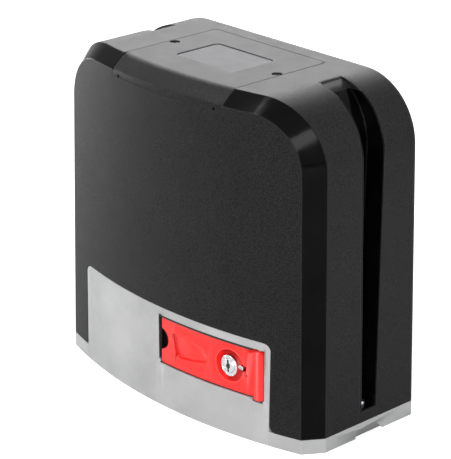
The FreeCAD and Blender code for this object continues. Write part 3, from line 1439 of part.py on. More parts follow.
for side_x in ("-", "+"):
    for side_y in ("-", ""):
        at = (f"tray_shift {side_x} (board_width / 2 - 5)", f"{side_y}(board_depth / 2 - 5)")
        tray_parts.append(upright("3", "tray_height + 1", board_low, at))
node("board_tray", fuse(*tray_parts))
node("tray_posts", fuse(*[
    upright("post_radius", "floor_thickness", "tray_height", ("post_x", f"{side}post_y"))
    for side in ("-", "")]))
board_body = doc.addObject("PartDesign::Body", "Board")
pad(board_body, outline(board_body, "XY_Plane", [
    ("-board_width / 2", "-board_depth / 2"), ("board_width / 2", "-board_depth / 2"),
    ("board_width / 2", "board_depth / 2"), ("-board_width / 2", "board_depth / 2")]),
    "board_thickness")
pocket(board_body, rings(board_body, "XY_Plane", [
    (f"{sx}(board_width / 2 - 5)", f"{sy}(board_depth / 2 - 5)", "1.6")
    for sx in ("-", "") for sy in ("-", "")]))
node("control_board", place(board_body, ("tray_shift", "0", board_low)))
board_top = f"{board_low} + board_thickness"
blocks = [box(("terminal_width", "terminal_depth", "terminal_height"),
              (f"tray_shift {shift}", "board_depth / 2 - terminal_depth - 1", board_top))
          for shift in ("- terminal_width - 2", "+ 2")]
node("terminal_blocks", fuse(*blocks))
relays = [box(("relay_width", "relay_depth", "relay_height"),
              (f"tray_shift - {offset} * relay_width", "-board_depth / 2 + 4", board_top))
          for offset in ("3.4", "2.2", "1")]
node("board_relays", fuse(*relays))
node("run_capacitor", cylinder("capacitor_radius", "capacitor_height",
                               ("capacitor_start", "capacitor_shift", capacitor_z), "X"))
sensor_low = "shaft_height + nose_radius - 4"
node("limit_sensor", cut(
    box(("sensor_width", "sensor_thickness", "sensor_height + 4"),
        ("-sensor_width / 2", "sensor_start", sensor_low)),
    across("nose_radius", "sensor_start - 1", "sensor_start + sensor_thickness + 1")))
node("transformer", turned([
    ("transformer_hole", "2"), ("transformer_hole + 2", "0"), ("transformer_radius - 4", "0"),
    ("transformer_radius", "4"), ("transformer_radius", "transformer_height - 4"),
    ("transformer_radius - 4", "transformer_height"), ("transformer_hole + 2", "transformer_height"),
    ("transformer_hole", "transformer_height - 2")],
    ("transformer_x", "transformer_y", "floor_thickness")))
node("transformer_bolt", turned([
    ("0", "0"), ("transformer_bolt_radius", "0"), ("transformer_bolt_radius", "transformer_height"),
    ("transformer_radius * 0.6", "transformer_height"),
    ("transformer_radius * 0.6", "transformer_height + 1.5"),
    ("transformer_bolt_radius * 1.8", "transformer_height + 1.5"),
    ("transformer_bolt_radius * 1.8", "transformer_height + 5"), ("0", "transformer_height + 5")],
    ("transformer_x", "transformer_y", "floor_thickness")))


# ---------------------------------------------------------------- write the pieces

def export():
    doc.recompute()
    for thing in doc.Objects:
        if "Invalid" in thing.State or "Error" in thing.State:
            raise ValueError(f"{thing.Label} is {thing.State}")
    os.makedirs("parts", exist_ok=True)
    for thing in nodes:
        shape = thing.Shape
        if shape.isNull() or not shape.isValid() or not shape.Solids:
            raise ValueError(f"{thing.Label} has no valid solid")
    for thing in nodes:
        thing.Shape.exportStep(f"parts/{thing.Label}.step")
        print(f"{thing.Label:26s} {len(thing.Shape.Solids)} solid(s) {thing.Shape.Volume:12.0f} mm3")
    print(len(nodes), "nodes")


export()
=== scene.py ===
# %% [markdown]
# # A sliding gate motor
# This lesson dresses the motor's CAD model in Blender. The real object is a
# moulded black cover on a silver cast base, with a red release lever behind a
# lock in the front, and a gear motor, a worm drive and a control board
# inside. The CAD model is loaded first as a fixed frame: it gives every
# piece its place, so nothing has to be fitted by eye.

import math

import bmesh
import bpy
from mathutils import Matrix, Vector


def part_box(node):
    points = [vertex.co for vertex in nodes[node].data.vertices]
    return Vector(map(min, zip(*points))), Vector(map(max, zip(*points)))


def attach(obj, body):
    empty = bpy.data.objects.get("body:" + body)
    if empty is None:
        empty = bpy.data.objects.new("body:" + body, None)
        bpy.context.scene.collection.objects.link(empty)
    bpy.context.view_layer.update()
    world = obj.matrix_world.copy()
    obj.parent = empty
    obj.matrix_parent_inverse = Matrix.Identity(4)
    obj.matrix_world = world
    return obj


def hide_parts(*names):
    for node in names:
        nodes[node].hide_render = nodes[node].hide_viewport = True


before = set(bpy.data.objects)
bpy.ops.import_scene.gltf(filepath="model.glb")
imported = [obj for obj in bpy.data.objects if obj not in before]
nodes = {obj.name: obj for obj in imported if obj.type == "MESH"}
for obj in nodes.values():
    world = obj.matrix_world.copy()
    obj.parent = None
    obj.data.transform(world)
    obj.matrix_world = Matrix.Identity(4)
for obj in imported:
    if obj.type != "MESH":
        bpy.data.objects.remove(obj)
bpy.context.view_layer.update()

# %% [markdown]
# ## Camera
# A product picture of a box is calm when its verticals stay almost upright,
# which takes a long lens from a fair distance. The camera is aimed at a point
# near the middle of the cover: it stands to the right and a little above, so
# that the front, one side and the top all show.

# %% Camera
aim = Vector((0.0050, -0.0038, 0.1467))
distance = 1.8
azimuth = math.radians(47.30)
elevation = math.radians(21.66)
back = Vector((math.sin(azimuth) * math.cos(elevation),
               -math.cos(azimuth) * math.cos(elevation),
               math.sin(elevation)))


def shown(name, data):
    """A new object of the scene, at the origin."""
    made = bpy.data.objects.new(name, data)
    bpy.context.scene.collection.objects.link(made)
    return made


def turned_from(direction):
    """The rotation of a camera or lamp that stands in a direction and looks back."""
    return direction.to_track_quat("Z", "Y").to_euler()


camera_data = bpy.data.cameras.new("gate_motor_camera")
camera_data.sensor_width = 36.0
camera_data.lens = 162.97
camera = shown("gate_motor_camera", camera_data)
camera.location = aim + back * distance
camera.rotation_euler = turned_from(back)
bpy.context.scene.camera = camera
print("camera at", [round(v, 3) for v in camera.location])

# %% [markdown]
# ## Studio
# The floor is a wide pale sheet. What the camera and mirror-like surfaces see
# of the surroundings is white, and what lights the object is softer: the
# world's Light Path tells the two apart, so a white background doesn't
# overexpose the object. World and materials are both node trees, so the two
# helpers that add and link nodes serve for all of them.

# %% World


def add(made, kind, **settings):
    """Adds a node to a material or a world; settings are its properties."""
    node = made.node_tree.nodes.new(kind)
    for key, value in settings.items():
        setattr(node, key, value)
    return node


def join(made, source, target):
    """Links two sockets of a material or a world."""
    made.node_tree.links.new(source, target)


def background(colour, strength):
    """A plain glow for the world."""
    glow = add(world, "ShaderNodeBackground")
    glow.inputs["Color"].default_value = (*colour, 1)
    glow.inputs["Strength"].default_value = strength
    return glow.outputs[0]


def either(first, second):
    """1 where one of two values of the world's tree is 1."""
    larger = add(world, "ShaderNodeMath", operation="MAXIMUM")
    join(world, first, larger.inputs[0])
    join(world, second, larger.inputs[1])
    return larger.outputs[0]


fill_strength = 0.30
world = bpy.data.worlds.new("studio")
bpy.context.scene.world = world
world.use_nodes = True
world.node_tree.nodes.clear()
rays = add(world, "ShaderNodeLightPath").outputs
seen = either(either(rays["Is Camera Ray"], rays["Is Glossy Ray"]), rays["Is Transmission Ray"])
world_mix = add(world, "ShaderNodeMixShader")
join(world, seen, world_mix.inputs["Fac"])
join(world, background((0.95, 0.97, 1.0), fill_strength), world_mix.inputs[1])
join(world, background((1, 1, 1), 1.0), world_mix.inputs[2])
join(world, world_mix.outputs[0], add(world, "ShaderNodeOutputWorld").inputs["Surface"])
bpy.context.scene.view_settings.view_transform = "Standard"
print("world strength for the object:", fill_strength)

# %% [markdown]
# The lamps are soft boxes. The key lights the front from the right, the left
# lamp gives its far side a sheen, the side lamp and the back lamp do the same
# for the end and the top, and a small one draws the glint on the bevel.

# %% Lamps


def softbox(name, place, width, height, watts):
    """A rectangular area lamp that faces the aim point."""
    lamp = bpy.data.lights.new(name, "AREA")
    lamp.shape = "RECTANGLE"
    lamp.size = width
    lamp.size_y = height
    lamp.energy = watts
    holder = shown(name, lamp)
    holder.location = place
    holder.rotation_euler = turned_from(Vector(place) - aim)
    holder.visible_camera = False


softbox("key_lamp", (1.66, -1.54, 1.1), 1.2, 1.2, 45)
softbox("left_lamp", (-2.0, -0.26, 0.22), 0.8, 0.42, 17)
softbox("side_lamp", (2.0, 0.9, 0.9), 0.8, 1.4, 8)
softbox("back_lamp", (-1.55, 1.43, 1.20), 1.6, 0.9, 34)
softbox("glint_lamp", (-0.66, -0.98, 2.00), 0.30, 0.20, 20)

# %% [markdown]
# ## Finishes
# Every finish is built from nodes. A few short helpers keep that readable:
# one starts a material, some make patterns and soft edges, and the last joins
# up what all finishes share: skin, tone, paler edges and a gloss that varies.
# The patterns read Object coordinates, in metres, so a grain of 0.3 mm is a
# scale of about 3000 on every piece alike.

# %% Helpers for the finishes


def start(name, colour, roughness, metallic=0.0, specular=0.5):
    """A new material with the plain values of its shader."""
    made = bpy.data.materials.new(name)
    made.use_nodes = True
    for label, value in (("Base Color", (*colour, 1)), ("Roughness", roughness),
                         ("Metallic", metallic), ("Specular IOR Level", specular)):
        shader_of(made).inputs[label].default_value = value
    return made


def shader_of(made):
    return made.node_tree.nodes["Principled BSDF"]


def scaled(colour, factor, lift=0.0):
    """A colour made darker or paler."""
    return tuple(min(1, c * factor + lift) for c in colour)


def textured(made, kind, sizes, origin=(0, 0, 0), **settings):
    """A pattern on Object coordinates, measured from an origin."""
    place = add(made, "ShaderNodeTexCoord")
    turn = add(made, "ShaderNodeMapping")
    turn.inputs["Location"].default_value = [-c for c in origin]
    join(made, place.outputs["Object"], turn.inputs["Vector"])
    pattern = add(made, kind, **settings)
    for label, value in sizes.items():
        pattern.inputs[label].default_value = value
    join(made, turn.outputs["Vector"], pattern.inputs["Vector"])
    return pattern.outputs


def noise(made, scale, detail=3.0):
    """A noise pattern with values about 0.5."""
    sizes = {"Scale": scale, "Detail": detail, "Roughness": 0.55}
    return textured(made, "ShaderNodeTexNoise", sizes)["Fac"]


def ramp(made, source, stops):
    """Colours a value: stops are (position, colour or grey)."""
    band = add(made, "ShaderNodeValToRGB")
    points = band.color_ramp.elements
    while len(points) < len(stops):
        points.new(0.5)
    for point, (position, colour) in zip(points, stops):
        point.position = position
        grey = isinstance(colour, (int, float))
        point.color = (colour, colour, colour, 1) if grey else (*colour, 1)
    join(made, source, band.inputs["Fac"])
    return band.outputs["Color"]


def blend(made, factor, first, second, how="MIX"):
    """Mixes two colours or greys: each is a socket or a tuple."""
    mixer = add(made, "ShaderNodeMix", data_type="RGBA", blend_type=how)
    for number, value in ((0, factor), (6, first), (7, second)):
        socket = mixer.inputs[number]
        if isinstance(value, bpy.types.NodeSocket):
            join(made, value, socket)
        else:
            socket.default_value = value if isinstance(value, float) else (*value, 1)
    return mixer.outputs[2]


def edges(made, radius):
    """A soft corner in the shading, and a value that is 1 near an edge."""
    rounded = add(made, "ShaderNodeBevel", samples=4)
    rounded.inputs["Radius"].default_value = radius
    shape = add(made, "ShaderNodeNewGeometry")
    near = add(made, "ShaderNodeVectorMath", operation="DOT_PRODUCT")
    join(made, rounded.outputs["Normal"], near.inputs[0])
    join(made, shape.outputs["Normal"], near.inputs[1])
    return rounded.outputs["Normal"], ramp(made, near.outputs["Value"],
                                           [(0.90, 1.0), (0.995, 0.0)])


def cloudy(made, scale, detail, low, high, spots=(0.3, 0.7)):
    """Noise that changes between two colours or greys."""
    return ramp(made, noise(made, scale, detail), [(spots[0], low), (spots[1], high)])


def dress(made, corner, skin, depth, strength, tone, pale, gloss):
    """Joins up a finish: soft corners, a raised skin, a tone with pale edges, and its gloss."""
    soft_corner, worn = edges(made, corner)
    relief = add(made, "ShaderNodeBump")
    relief.inputs["Strength"].default_value = strength
    relief.inputs["Distance"].default_value = depth
    join(made, skin, relief.inputs["Height"])
    join(made, soft_corner, relief.inputs["Normal"])
    for label, source in (("Normal", relief.outputs["Normal"]), ("Roughness", gloss),
                          ("Base Color", blend(made, worn, tone, pale))):
        join(made, source, shader_of(made).inputs[label])
    return made


print("helpers ready")

# %% [markdown]
# ### Moulded black cover
# The cover is one moulding, but its tool was finished in two ways: the front,
# the sides and the top are etched to a fine matt grain, and the two bevels
# that frame the front are polished. That makes two materials of one colour.
# A black surface shows mostly what it mirrors, so the grain, the gloss and
# how strongly it mirrors matter more here than the colour itself.

# %% Cover materials
cover_edge = 0.0022


def etched_black(name):
    """Matt moulded plastic: fine grain, cloudy gloss and slightly paler edges."""
    made = start(name, (0.008, 0.008, 0.008), 0.5, specular=0.16)
    grain = textured(made, "ShaderNodeTexVoronoi", {"Scale": 1300}, feature="SMOOTH_F1")
    skin = blend(made, 0.5, grain["Distance"], noise(made, 2300, 2.0))
    matt = blend(made, 1.0, cloudy(made, 1250, 1.0, 0.0, 0.016, (0.40, 0.60)),
                 cloudy(made, 18, 3.0, 0.75, 1.0), "MULTIPLY")
    return dress(made, cover_edge, skin, 0.00030, 0.8, matt, (0.016, 0.016, 0.016),
                 cloudy(made, 60, 4.0, 0.46, 0.50))


def polished_black(name):
    """The same plastic from a polished part of the tool."""
    made = start(name, (0.001, 0.001, 0.001), 0.1, specular=0.07)
    return dress(made, cover_edge, noise(made, 60, 2.0), 0.00012, 0.25,
                 cloudy(made, 30, 3.0, 0.0005, 0.002), (0.006, 0.006, 0.006),
                 cloudy(made, 45, 4.0, 0.08, 0.16, (0.35, 0.75)))


cover_gloss = polished_black("cover_gloss")
print("made", cover_gloss.name)

# %% [markdown]
# ### Plain mouldings, castings and turned steel
# Most other pieces share one of a few families: a moulding with a fine
# texture, a casting with a coarser skin, and machined metal with tool marks
# that run round its axis. Each family is one function, so two pieces of the
# same stuff differ by their numbers alone.

# %% Families of finishes


def moulding(name, colour, rough, grain_depth=0.00006, scale=1800, spread=0.12, specular=0.5):
    """Plastic: a fine skin, slow changes of tone and slightly paler edges."""
    made = start(name, colour, rough, specular=specular)
    tone = cloudy(made, 35, 4.0, scaled(colour, 1 - spread), scaled(colour, 1 + spread))
    gloss = cloudy(made, 80, 3.0, rough * (1 - spread), rough * (1 + spread))
    return dress(made, 0.0005, noise(made, scale, 2.0), grain_depth, 0.6, tone,
                 scaled(colour, 1.25, 0.01), gloss)


def casting(name, colour, rough, metallic, skin_depth=0.00016, scale=900, specular=0.5):
    """Cast and painted or bare metal: an orange-peel skin with rubbed edges."""
    made = start(name, colour, rough, metallic, specular)
    coarse = noise(made, scale, 4.0)
    tone = cloudy(made, 24, 5.0, scaled(colour, 0.86), scaled(colour, 1.08))
    fleck = cloudy(made, 2400, 1.0, 0.90, 1.0, (0.45, 0.62))
    gloss = ramp(made, coarse, [(0.3, rough * 0.85), (0.7, rough * 1.2)])
    return dress(made, 0.0009, coarse, skin_depth, 0.7,
                 blend(made, 1.0, tone, fleck, "MULTIPLY"), scaled(colour, 1.15), gloss)


def machined(name, colour, rough, centre=(0, 0, 0), axis="Z", pitch=0.0006, wear=0.25):
    """Turned or milled metal: rings round an axis through centre."""
    made = start(name, colour, rough, 1.0)
    waves_per_unit = 0.314 / pitch
    rings = textured(made, "ShaderNodeTexWave",
                     {"Scale": waves_per_unit, "Distortion": 0.6, "Detail": 2.0}, centre,
                     wave_type="RINGS", rings_direction=axis)
    stain = cloudy(made, 120, 4.0, scaled(colour, 1 - wear), colour, (0.32, 0.6))
    gloss = cloudy(made, 300, 3.0, rough * 0.8, rough * 1.3)
    return dress(made, 0.0004, rings["Fac"], 0.00008 * wear, 0.5, stain, scaled(colour, 1.3),
                 gloss)


print("families: moulding, casting, machined")

# %% The finishes
wheel_axis = (0, 0, 0.080)
motor_axis = (-0.05, 0, 0)
lock_axis = (0.077, 0, 0.0618)
recipes = {
    "cover_black": (etched_black,),
    "trim_gloss": (polished_black,),
    "badge_grey": (moulding, (0.11, 0.11, 0.115), 0.60, 0.00001, 1800, 0.04, 0.26),
    "screw_steel": (machined, (0.52, 0.53, 0.55), 0.32),
    "silver_casting": (casting, (0.44, 0.44, 0.44), 0.46, 0.15, 0.00016, 900, 0.3),
    "raw_aluminium": (casting, (0.62, 0.63, 0.65), 0.42, 0.9, 0.00028, 520),
    "black_rubber": (moulding, (0.012, 0.012, 0.012), 0.78, 0.00012, 900),
    "red_plastic": (moulding, (0.86, 0.022, 0.018), 0.36, 0.00002, 1500, 0.05),
    "lock_chrome": (machined, (0.74, 0.75, 0.77), 0.16, lock_axis, "Y", 0.0004, 0.06),
    "gear_steel": (machined, (0.40, 0.41, 0.43), 0.30, wheel_axis, "Y"),
    "gear_bronze": (machined, (0.58, 0.34, 0.12), 0.34, wheel_axis, "Y"),
    "core_steel": (machined, (0.20, 0.21, 0.24), 0.40, motor_axis),
    "winding_copper": (machined, (0.62, 0.24, 0.08), 0.28, motor_axis),
    "dark_plastic": (moulding, (0.030, 0.032, 0.036), 0.52),
    "board_green": (moulding, (0.012, 0.14, 0.06), 0.30, 0.00004, 700, 0.2),
    "terminal_green": (moulding, (0.03, 0.36, 0.10), 0.42),
    "capacitor_grey": (moulding, (0.46, 0.47, 0.48), 0.36),
}
finishes = {name: family(name, *values) for name, (family, *values) in recipes.items()}
cover_black = finishes["cover_black"]
# Near-black steel for the hatch screws: painted shade, standing in for the dark of their deep
# holes.
shaded_black = machined("shaded_black_steel", (0.020, 0.020, 0.021), 0.38)
for cad_piece in nodes.values():
    for holder in cad_piece.material_slots:
        holder.material = finishes[holder.material.name.split(".")[0]]
print("finishes:", len(finishes), "on", len(nodes), "CAD pieces")

# %% [markdown]
# ## Floor
# The floor shows the object's shadow, and for the camera it is lifted to
# near white with a little emission, so that it meets the background.

# %% Floor
reach = 6.0
paper = start("paper", (0.90, 0.90, 0.90), 0.9)
lift = add(paper, "ShaderNodeMath", operation="MULTIPLY")
lift.inputs[1].default_value = 0.45
join(paper, add(paper, "ShaderNodeLightPath").outputs["Is Camera Ray"], lift.inputs[0])
shader_of(paper).inputs["Emission Color"].default_value = (1, 1, 1, 1)
join(paper, lift.outputs[0], shader_of(paper).inputs["Emission Strength"])
floor_mesh = bpy.data.meshes.new("floor")
floor_mesh.from_pydata([(-reach, -reach, 0), (reach, -reach, 0), (reach, reach, 0),
                        (-reach, reach, 0)], [], [(0, 1, 2, 3)])
floor_mesh.materials.append(paper)
shown("floor", floor_mesh)
print("floor half-width in m:", reach)

# %% [markdown]
# ## From CAD to finished pieces
# A CAD mesh comes as loose triangles: each has its own corners, and the
# smooth look of curved faces is kept in a normal at every corner. To work on
# such a mesh it is copied with its corners shared, and those normals are
# handed over, so that curved faces stay as smooth as the CAD made them.

# %% Copying a CAD mesh


def merged_copy(source):
    """A copy of a CAD piece's mesh whose triangles share corners."""
    old = source.data
    shared, corners, faces, normals = {}, [], [], []
    for face in old.polygons:
        ring = []
        for index in face.vertices:
            spot = tuple(round(value, 6) for value in old.vertices[index].co)
            if spot not in shared:
                shared[spot] = len(corners)
                corners.append(spot)
            ring.append(shared[spot])
        if len(set(ring)) == len(ring):
            faces.append(ring)
            normals += [old.corner_normals[i].vector[:] for i in face.loop_indices]
    made = bpy.data.meshes.new(source.name + "_copy")
    made.from_pydata(corners, [], faces)
    made.shade_smooth()
    made.normals_split_custom_set(normals)
    return made


def piece(name, mesh, finish, body, stands_for=()):
    """Shows a finished mesh on its body, in place of the CAD pieces named."""
    if not mesh.materials:
        mesh.materials.append(finishes[finish])
    made = shown(name, mesh)
    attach(made, body)
    if stands_for:
        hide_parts(*stands_for)
    print(name, "has", len(mesh.polygons), "faces and rides on", body)


# %% [markdown]
# ## Cover
# The outside of the cover is one mesh with two finishes. The polished bevels
# lie at about 45 degrees between the front and the sides or the top, so each
# face can be sorted by the direction it looks in.

# %% Cover
cover_mesh = merged_copy(nodes["cover_shell"])
cover_mesh.materials.append(cover_black)
cover_mesh.materials.append(cover_gloss)
bevel_faces = [face for face in cover_mesh.polygons if -0.90 < face.normal.y < -0.35]
for face in bevel_faces:
    face.material_index = 1
piece("cover_moulding", cover_mesh, "cover_black", "cover", ["cover_shell"])
print("polished faces:", len(bevel_faces))

# %% [markdown]
# ## Release door
# The door is a thin bowed plate. Its CAD shape has the thumb notch and the
# well for the lock. What is still missing is the pressed relief that points
# to the lock: a wedge that gets deeper towards its lower edge, with a groove
# below it. Each is the convex hull of a few points laid on the door's own
# face, found by dropping a ray on it, and a boolean takes it out of the door.

# %% Helpers for mesh pieces


def as_mesh(form, name):
    """The plain mesh of a form, with its faces turned outward."""
    bmesh.ops.recalc_face_normals(form, faces=form.faces)
    mesh = bpy.data.meshes.new(name)
    form.to_mesh(mesh)
    form.free()
    return mesh


def smooth(mesh, angle):
    """Shades a mesh smooth, but sharp where faces meet at more than an angle."""
    mesh.shade_smooth()
    mesh.set_sharp_from_angle(angle=math.radians(angle))
    return mesh


def hull(points):
    """The convex hull of points as a mesh."""
    form = bmesh.new()
    for point in points:
        form.verts.new(point)
    made = bmesh.ops.convex_hull(form, input=form.verts)
    loose = [g for g in made["geom_interior"] if isinstance(g, bmesh.types.BMVert)]
    bmesh.ops.delete(form, geom=loose, context="VERTS")
    return as_mesh(form, "hull")


def loft(rings):
    """A closed mesh through rings of points, with its two ends filled."""
    form = bmesh.new()
    rows = [[form.verts.new(spot) for spot in ring] for ring in rings]
    for a, b in zip(rows, rows[1:]):
        for i in range(len(a)):
            j = (i + 1) % len(a)
            form.faces.new((a[i], a[j], b[j], b[i]))
    form.faces.new(rows[0])
    form.faces.new(rows[-1])
    return as_mesh(form, "loft")


def finished(thing):
    """The mesh of an object with its modifiers applied. The object goes."""
    bpy.context.view_layer.update()
    graph = bpy.context.evaluated_depsgraph_get()
    made = bpy.data.meshes.new_from_object(thing.evaluated_get(graph))
    bpy.data.objects.remove(thing)
    return made


def carve(mesh, tools):
    """Takes closed tool meshes out of a closed mesh."""
    base = shown("base", mesh)
    cutters = [shown("tool", tool) for tool in tools]
    for cutter in cutters:
        step = base.modifiers.new("carve", "BOOLEAN")
        step.operation = "DIFFERENCE"
        step.solver = "EXACT"
        step.object = cutter
    made = finished(base)
    for cutter in cutters:
        bpy.data.objects.remove(cutter)
    return made


def rounded(mesh, width, angle=40, segments=2):
    """A mesh with small radii on its sharp edges and smooth faces."""
    thing = shown("rounding", smooth(mesh, angle))
    step = thing.modifiers.new("radius", "BEVEL")
    step.width = width
    step.segments = segments
    step.limit_method = "ANGLE"
    step.angle_limit = math.radians(angle)
    step.use_clamp_overlap = True
    step.harden_normals = True
    return finished(thing)


def face_depth(cad_piece, x, z):
    """Depth in Y of a CAD piece's front face at x and z, found by a ray."""
    return cad_piece.ray_cast(Vector((x, -0.2, z)), Vector((0, 1, 0)))[1].y


print("mesh helpers ready")

# %% Relief in the door
bpy.context.view_layer.update()
door = nodes["release_lever"]
door_low, door_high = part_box("release_lever")


def sunk(outline):
    """A tool that cuts the door's face to the depth given at each place."""
    spots = []
    for x, z, depth in outline:
        level = face_depth(door, x, z)
        spots += [(x, level + depth, z), (x, level - 0.004, z)]
    return hull(spots)


relief = sunk(((0.0120, 0.0714, 0.0002), (0.0258, 0.0723, 0.0001), (0.0481, 0.0655, 0.0001),
               (0.0535, 0.0600, 0.0001), (0.0155, 0.0530, 0.0009), (0.0295, 0.0549, 0.0010),
               (0.0500, 0.0572, 0.0006)))
groove = sunk(((0.0156, 0.0529, 0.0003), (0.0295, 0.0552, 0.0003), (0.0530, 0.0580, 0.0003),
               (0.0221, 0.0512, 0.0022), (0.0370, 0.0529, 0.0024), (0.0494, 0.0560, 0.0020),
               (0.0221, 0.0506, 0.0), (0.0370, 0.0524, 0.0), (0.0494, 0.0555, 0.0)))
print("door face at its middle:", round(face_depth(door, 0.05, 0.075) * 1000, 2), "mm")

# %% [markdown]
# The door also has a slot in the rim of the lock's well, where a tab on the
# lock stands, and a small engraved triangle below it that marks the shut
# position. Both are prisms: a flat outline pushed through the door's face.
# The well is cut deeper than the CAD's, and the corner of the door above its
# hinge is rounded. Left of the hinge the plate lies a little deeper than the
# CAD's and hangs a little lower, so its corners are moved after the cuts.

# %% Slot, mark, well and corner


def prism(outline, low, high):
    """A closed mesh from an outline in X and Z, between two depths in Y."""
    return loft([[(x, y, z) for x, z in outline] for y in (low, high)])


def oblong(left, right, low, high):
    """The outline of a rectangle in X and Z."""
    return [(left, low), (right, low), (right, high), (left, high)]


def turns(count):
    """Equal steps round a circle."""
    return [math.tau * i / count for i in range(count)]


quarter_turn = [math.pi / 2 * i / 8 for i in range(9)]
lock_x, _, lock_z = lock_axis
well_radius, well_depth = 0.0142, 0.0078
hinge_x, hinge_z, hinge_radius = 0.1080, 0.0791, 0.0043
mark_y = face_depth(door, 0.0947, 0.0576)
slot_y = face_depth(door, 0.0935, 0.0628)
well_y = face_depth(door, 0.0640, lock_z)
mark = prism([(0.0936, 0.0566), (0.0958, 0.0566), (0.0947, 0.0588)], mark_y - 0.002,
             mark_y + 0.0005)
tab_slot = prism(oblong(0.0885, 0.0940, 0.0600, 0.0652), slot_y - 0.004, slot_y + 0.0026)
well = hull([(lock_x + well_radius * math.cos(a), y, lock_z + well_radius * math.sin(a))
             for a in turns(96) for y in (well_y, well_y + well_depth)])
corner_arc = [(hinge_x + hinge_radius * math.cos(a), hinge_z + hinge_radius * math.sin(a))
              for a in quarter_turn]
hinge_corner = prism([(0.1140, hinge_z), *corner_arc, (hinge_x, 0.0850), (0.1140, 0.0850)],
                     -0.080, -0.040)
back_of_plate = face_depth(door, 0.020, 0.045) + 0.0046
plate_end, plate_sunk, plate_shift = 0.100, 0.0008, 0.0009
carved_door = carve(merged_copy(door), [relief, groove, mark, tab_slot, well, hinge_corner])
for corner in carved_door.vertices:
    if corner.co.x < plate_end:
        corner.co.y += plate_sunk
        if corner.co.z < 0.0425 or corner.co.z > 0.0820:
            corner.co.z -= plate_shift
piece("release_door", rounded(carved_door, 0.0004), "red_plastic", "lever", ["release_lever"])

# %% [markdown]
# ### Finger cup behind the thumb notch
# A finger that pulls the door open reaches into a small cup behind the notch.
# The cup is half a shallow pot, so it is spun from a short profile: Spin
# turns a line of points about an axis and joins the copies with faces.

# %% Finger cup


def lathe(profile, centre, axis, segments=64, sweep=360.0, start_angle=0.0):
    """Turns a closed profile of (radius, height) pairs about an axis."""
    form = bmesh.new()
    ring = [form.verts.new((radius, 0, height)) for radius, height in profile]
    sides = [form.edges.new((a, b)) for a, b in zip(ring, ring[1:] + ring[:1])]
    turn = Matrix.Rotation(math.radians(start_angle), 4, "Z")
    bmesh.ops.transform(form, matrix=turn, verts=form.verts)
    bmesh.ops.spin(form, geom=ring + sides, cent=(0, 0, 0), axis=(0, 0, 1),
                   angle=math.radians(sweep), steps=segments, use_duplicate=False)
    bmesh.ops.remove_doubles(form, verts=form.verts, dist=1e-6)
    open_edges = [edge for edge in form.edges if edge.is_boundary]
    if open_edges:
        bmesh.ops.holes_fill(form, edges=open_edges, sides=0)
    mesh = as_mesh(form, "lathe")
    way = Vector((0, 0, 1)).rotation_difference(Vector(axis)).to_matrix().to_4x4()
    mesh.transform(Matrix.Translation(centre) @ way)
    return smooth(mesh, 35)


notch_height = (door_low[2] + door_high[2]) / 2 + 0.0013
cup = lathe([(0.0004, 0.0066), (0.0105, 0.0066), (0.0105, 0.0), (0.0115, 0.0), (0.0115, 0.0076),
             (0.0004, 0.0076)], (-0.0034, back_of_plate, notch_height), (0, 1, 0), 32, 180.0,
            -90.0)
piece("finger_cup", cup, "red_plastic", "lever")

# %% [markdown]
# ## Lock
# The lock is a chromed barrel with a turning plug. Both are turned parts, so
# they are spun like the cup. A shallow groove runs round the barrel's face,
# and the keyway is a crooked prism cut into the plug. A black prism fills it
# just below the face: painted shade for the dark depth of the keyway.

# %% Lock barrel and its tab
plug_low, plug_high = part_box("lock_plug")
barrel_low, barrel_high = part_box("lock_barrel")
lock_spot = Vector(((plug_low[0] + plug_high[0]) / 2, barrel_low[1],
                    (plug_low[2] + plug_high[2]) / 2))
barrel_length = barrel_high[1] - barrel_low[1]
barrel = lathe([(0.00648, barrel_length), (0.00648, 0.0006), (0.0070, 0.0001), (0.0079, 0.0),
                (0.0080, 0.0005), (0.0084, 0.0005), (0.0085, 0.0), (0.0090, 0.0001),
                (0.0094, 0.0004), (0.0096, 0.0010), (0.0096, barrel_length)],
               lock_spot, (0, 1, 0), 96)
piece("lock_barrel_turned", barrel, "lock_chrome", "lever", ["lock_barrel"])
tab_y = max(slot_y + 0.0002, barrel_low[1] + 0.0004)
tab = prism(oblong(lock_spot.x + 0.0080, 0.0905, 0.0606, 0.0642), tab_y, tab_y + 0.0026)
piece("lock_tab", rounded(tab, 0.0006, segments=3), "lock_chrome", "lever")

# %% Lock plug
plug_length = plug_high[1] - lock_spot.y
plug = lathe([(0.0, -0.0004), (0.0057, -0.0004), (0.0062, -0.0001), (0.0064, 0.0004),
              (0.0064, plug_length), (0.0, plug_length)], lock_spot, (0, 1, 0), 96)
crook_in_mm = [(-1.5, 5.5), (0.7, 5.5), (0.7, 3.0), (2.3, 1.7), (2.3, -0.8), (1.1, -2.1),
               (1.3, -5.5), (-0.9, -5.5), (-1.1, -2.6), (-2.4, -1.4), (-2.4, 0.5), (-1.1, 1.8),
               (-1.5, 3.1)]
keyway = [(lock_spot.x + x / 1000, lock_spot.z + z / 1000) for x, z in crook_in_mm]
face_cut = prism(keyway, lock_spot.y - 0.002, lock_spot.y + 0.007)
piece("key_plug", rounded(carve(plug, [face_cut]), 0.00015), "lock_chrome", "lock_plug_body",
      ["lock_plug"])
# A black prism inside the keyway: painted shade for the dark depth of the keyway.
piece("keyway_shade_fill", prism(keyway, lock_spot.y - 0.0003, lock_spot.y + 0.006), "black_rubber",
      "lock_plug_body")
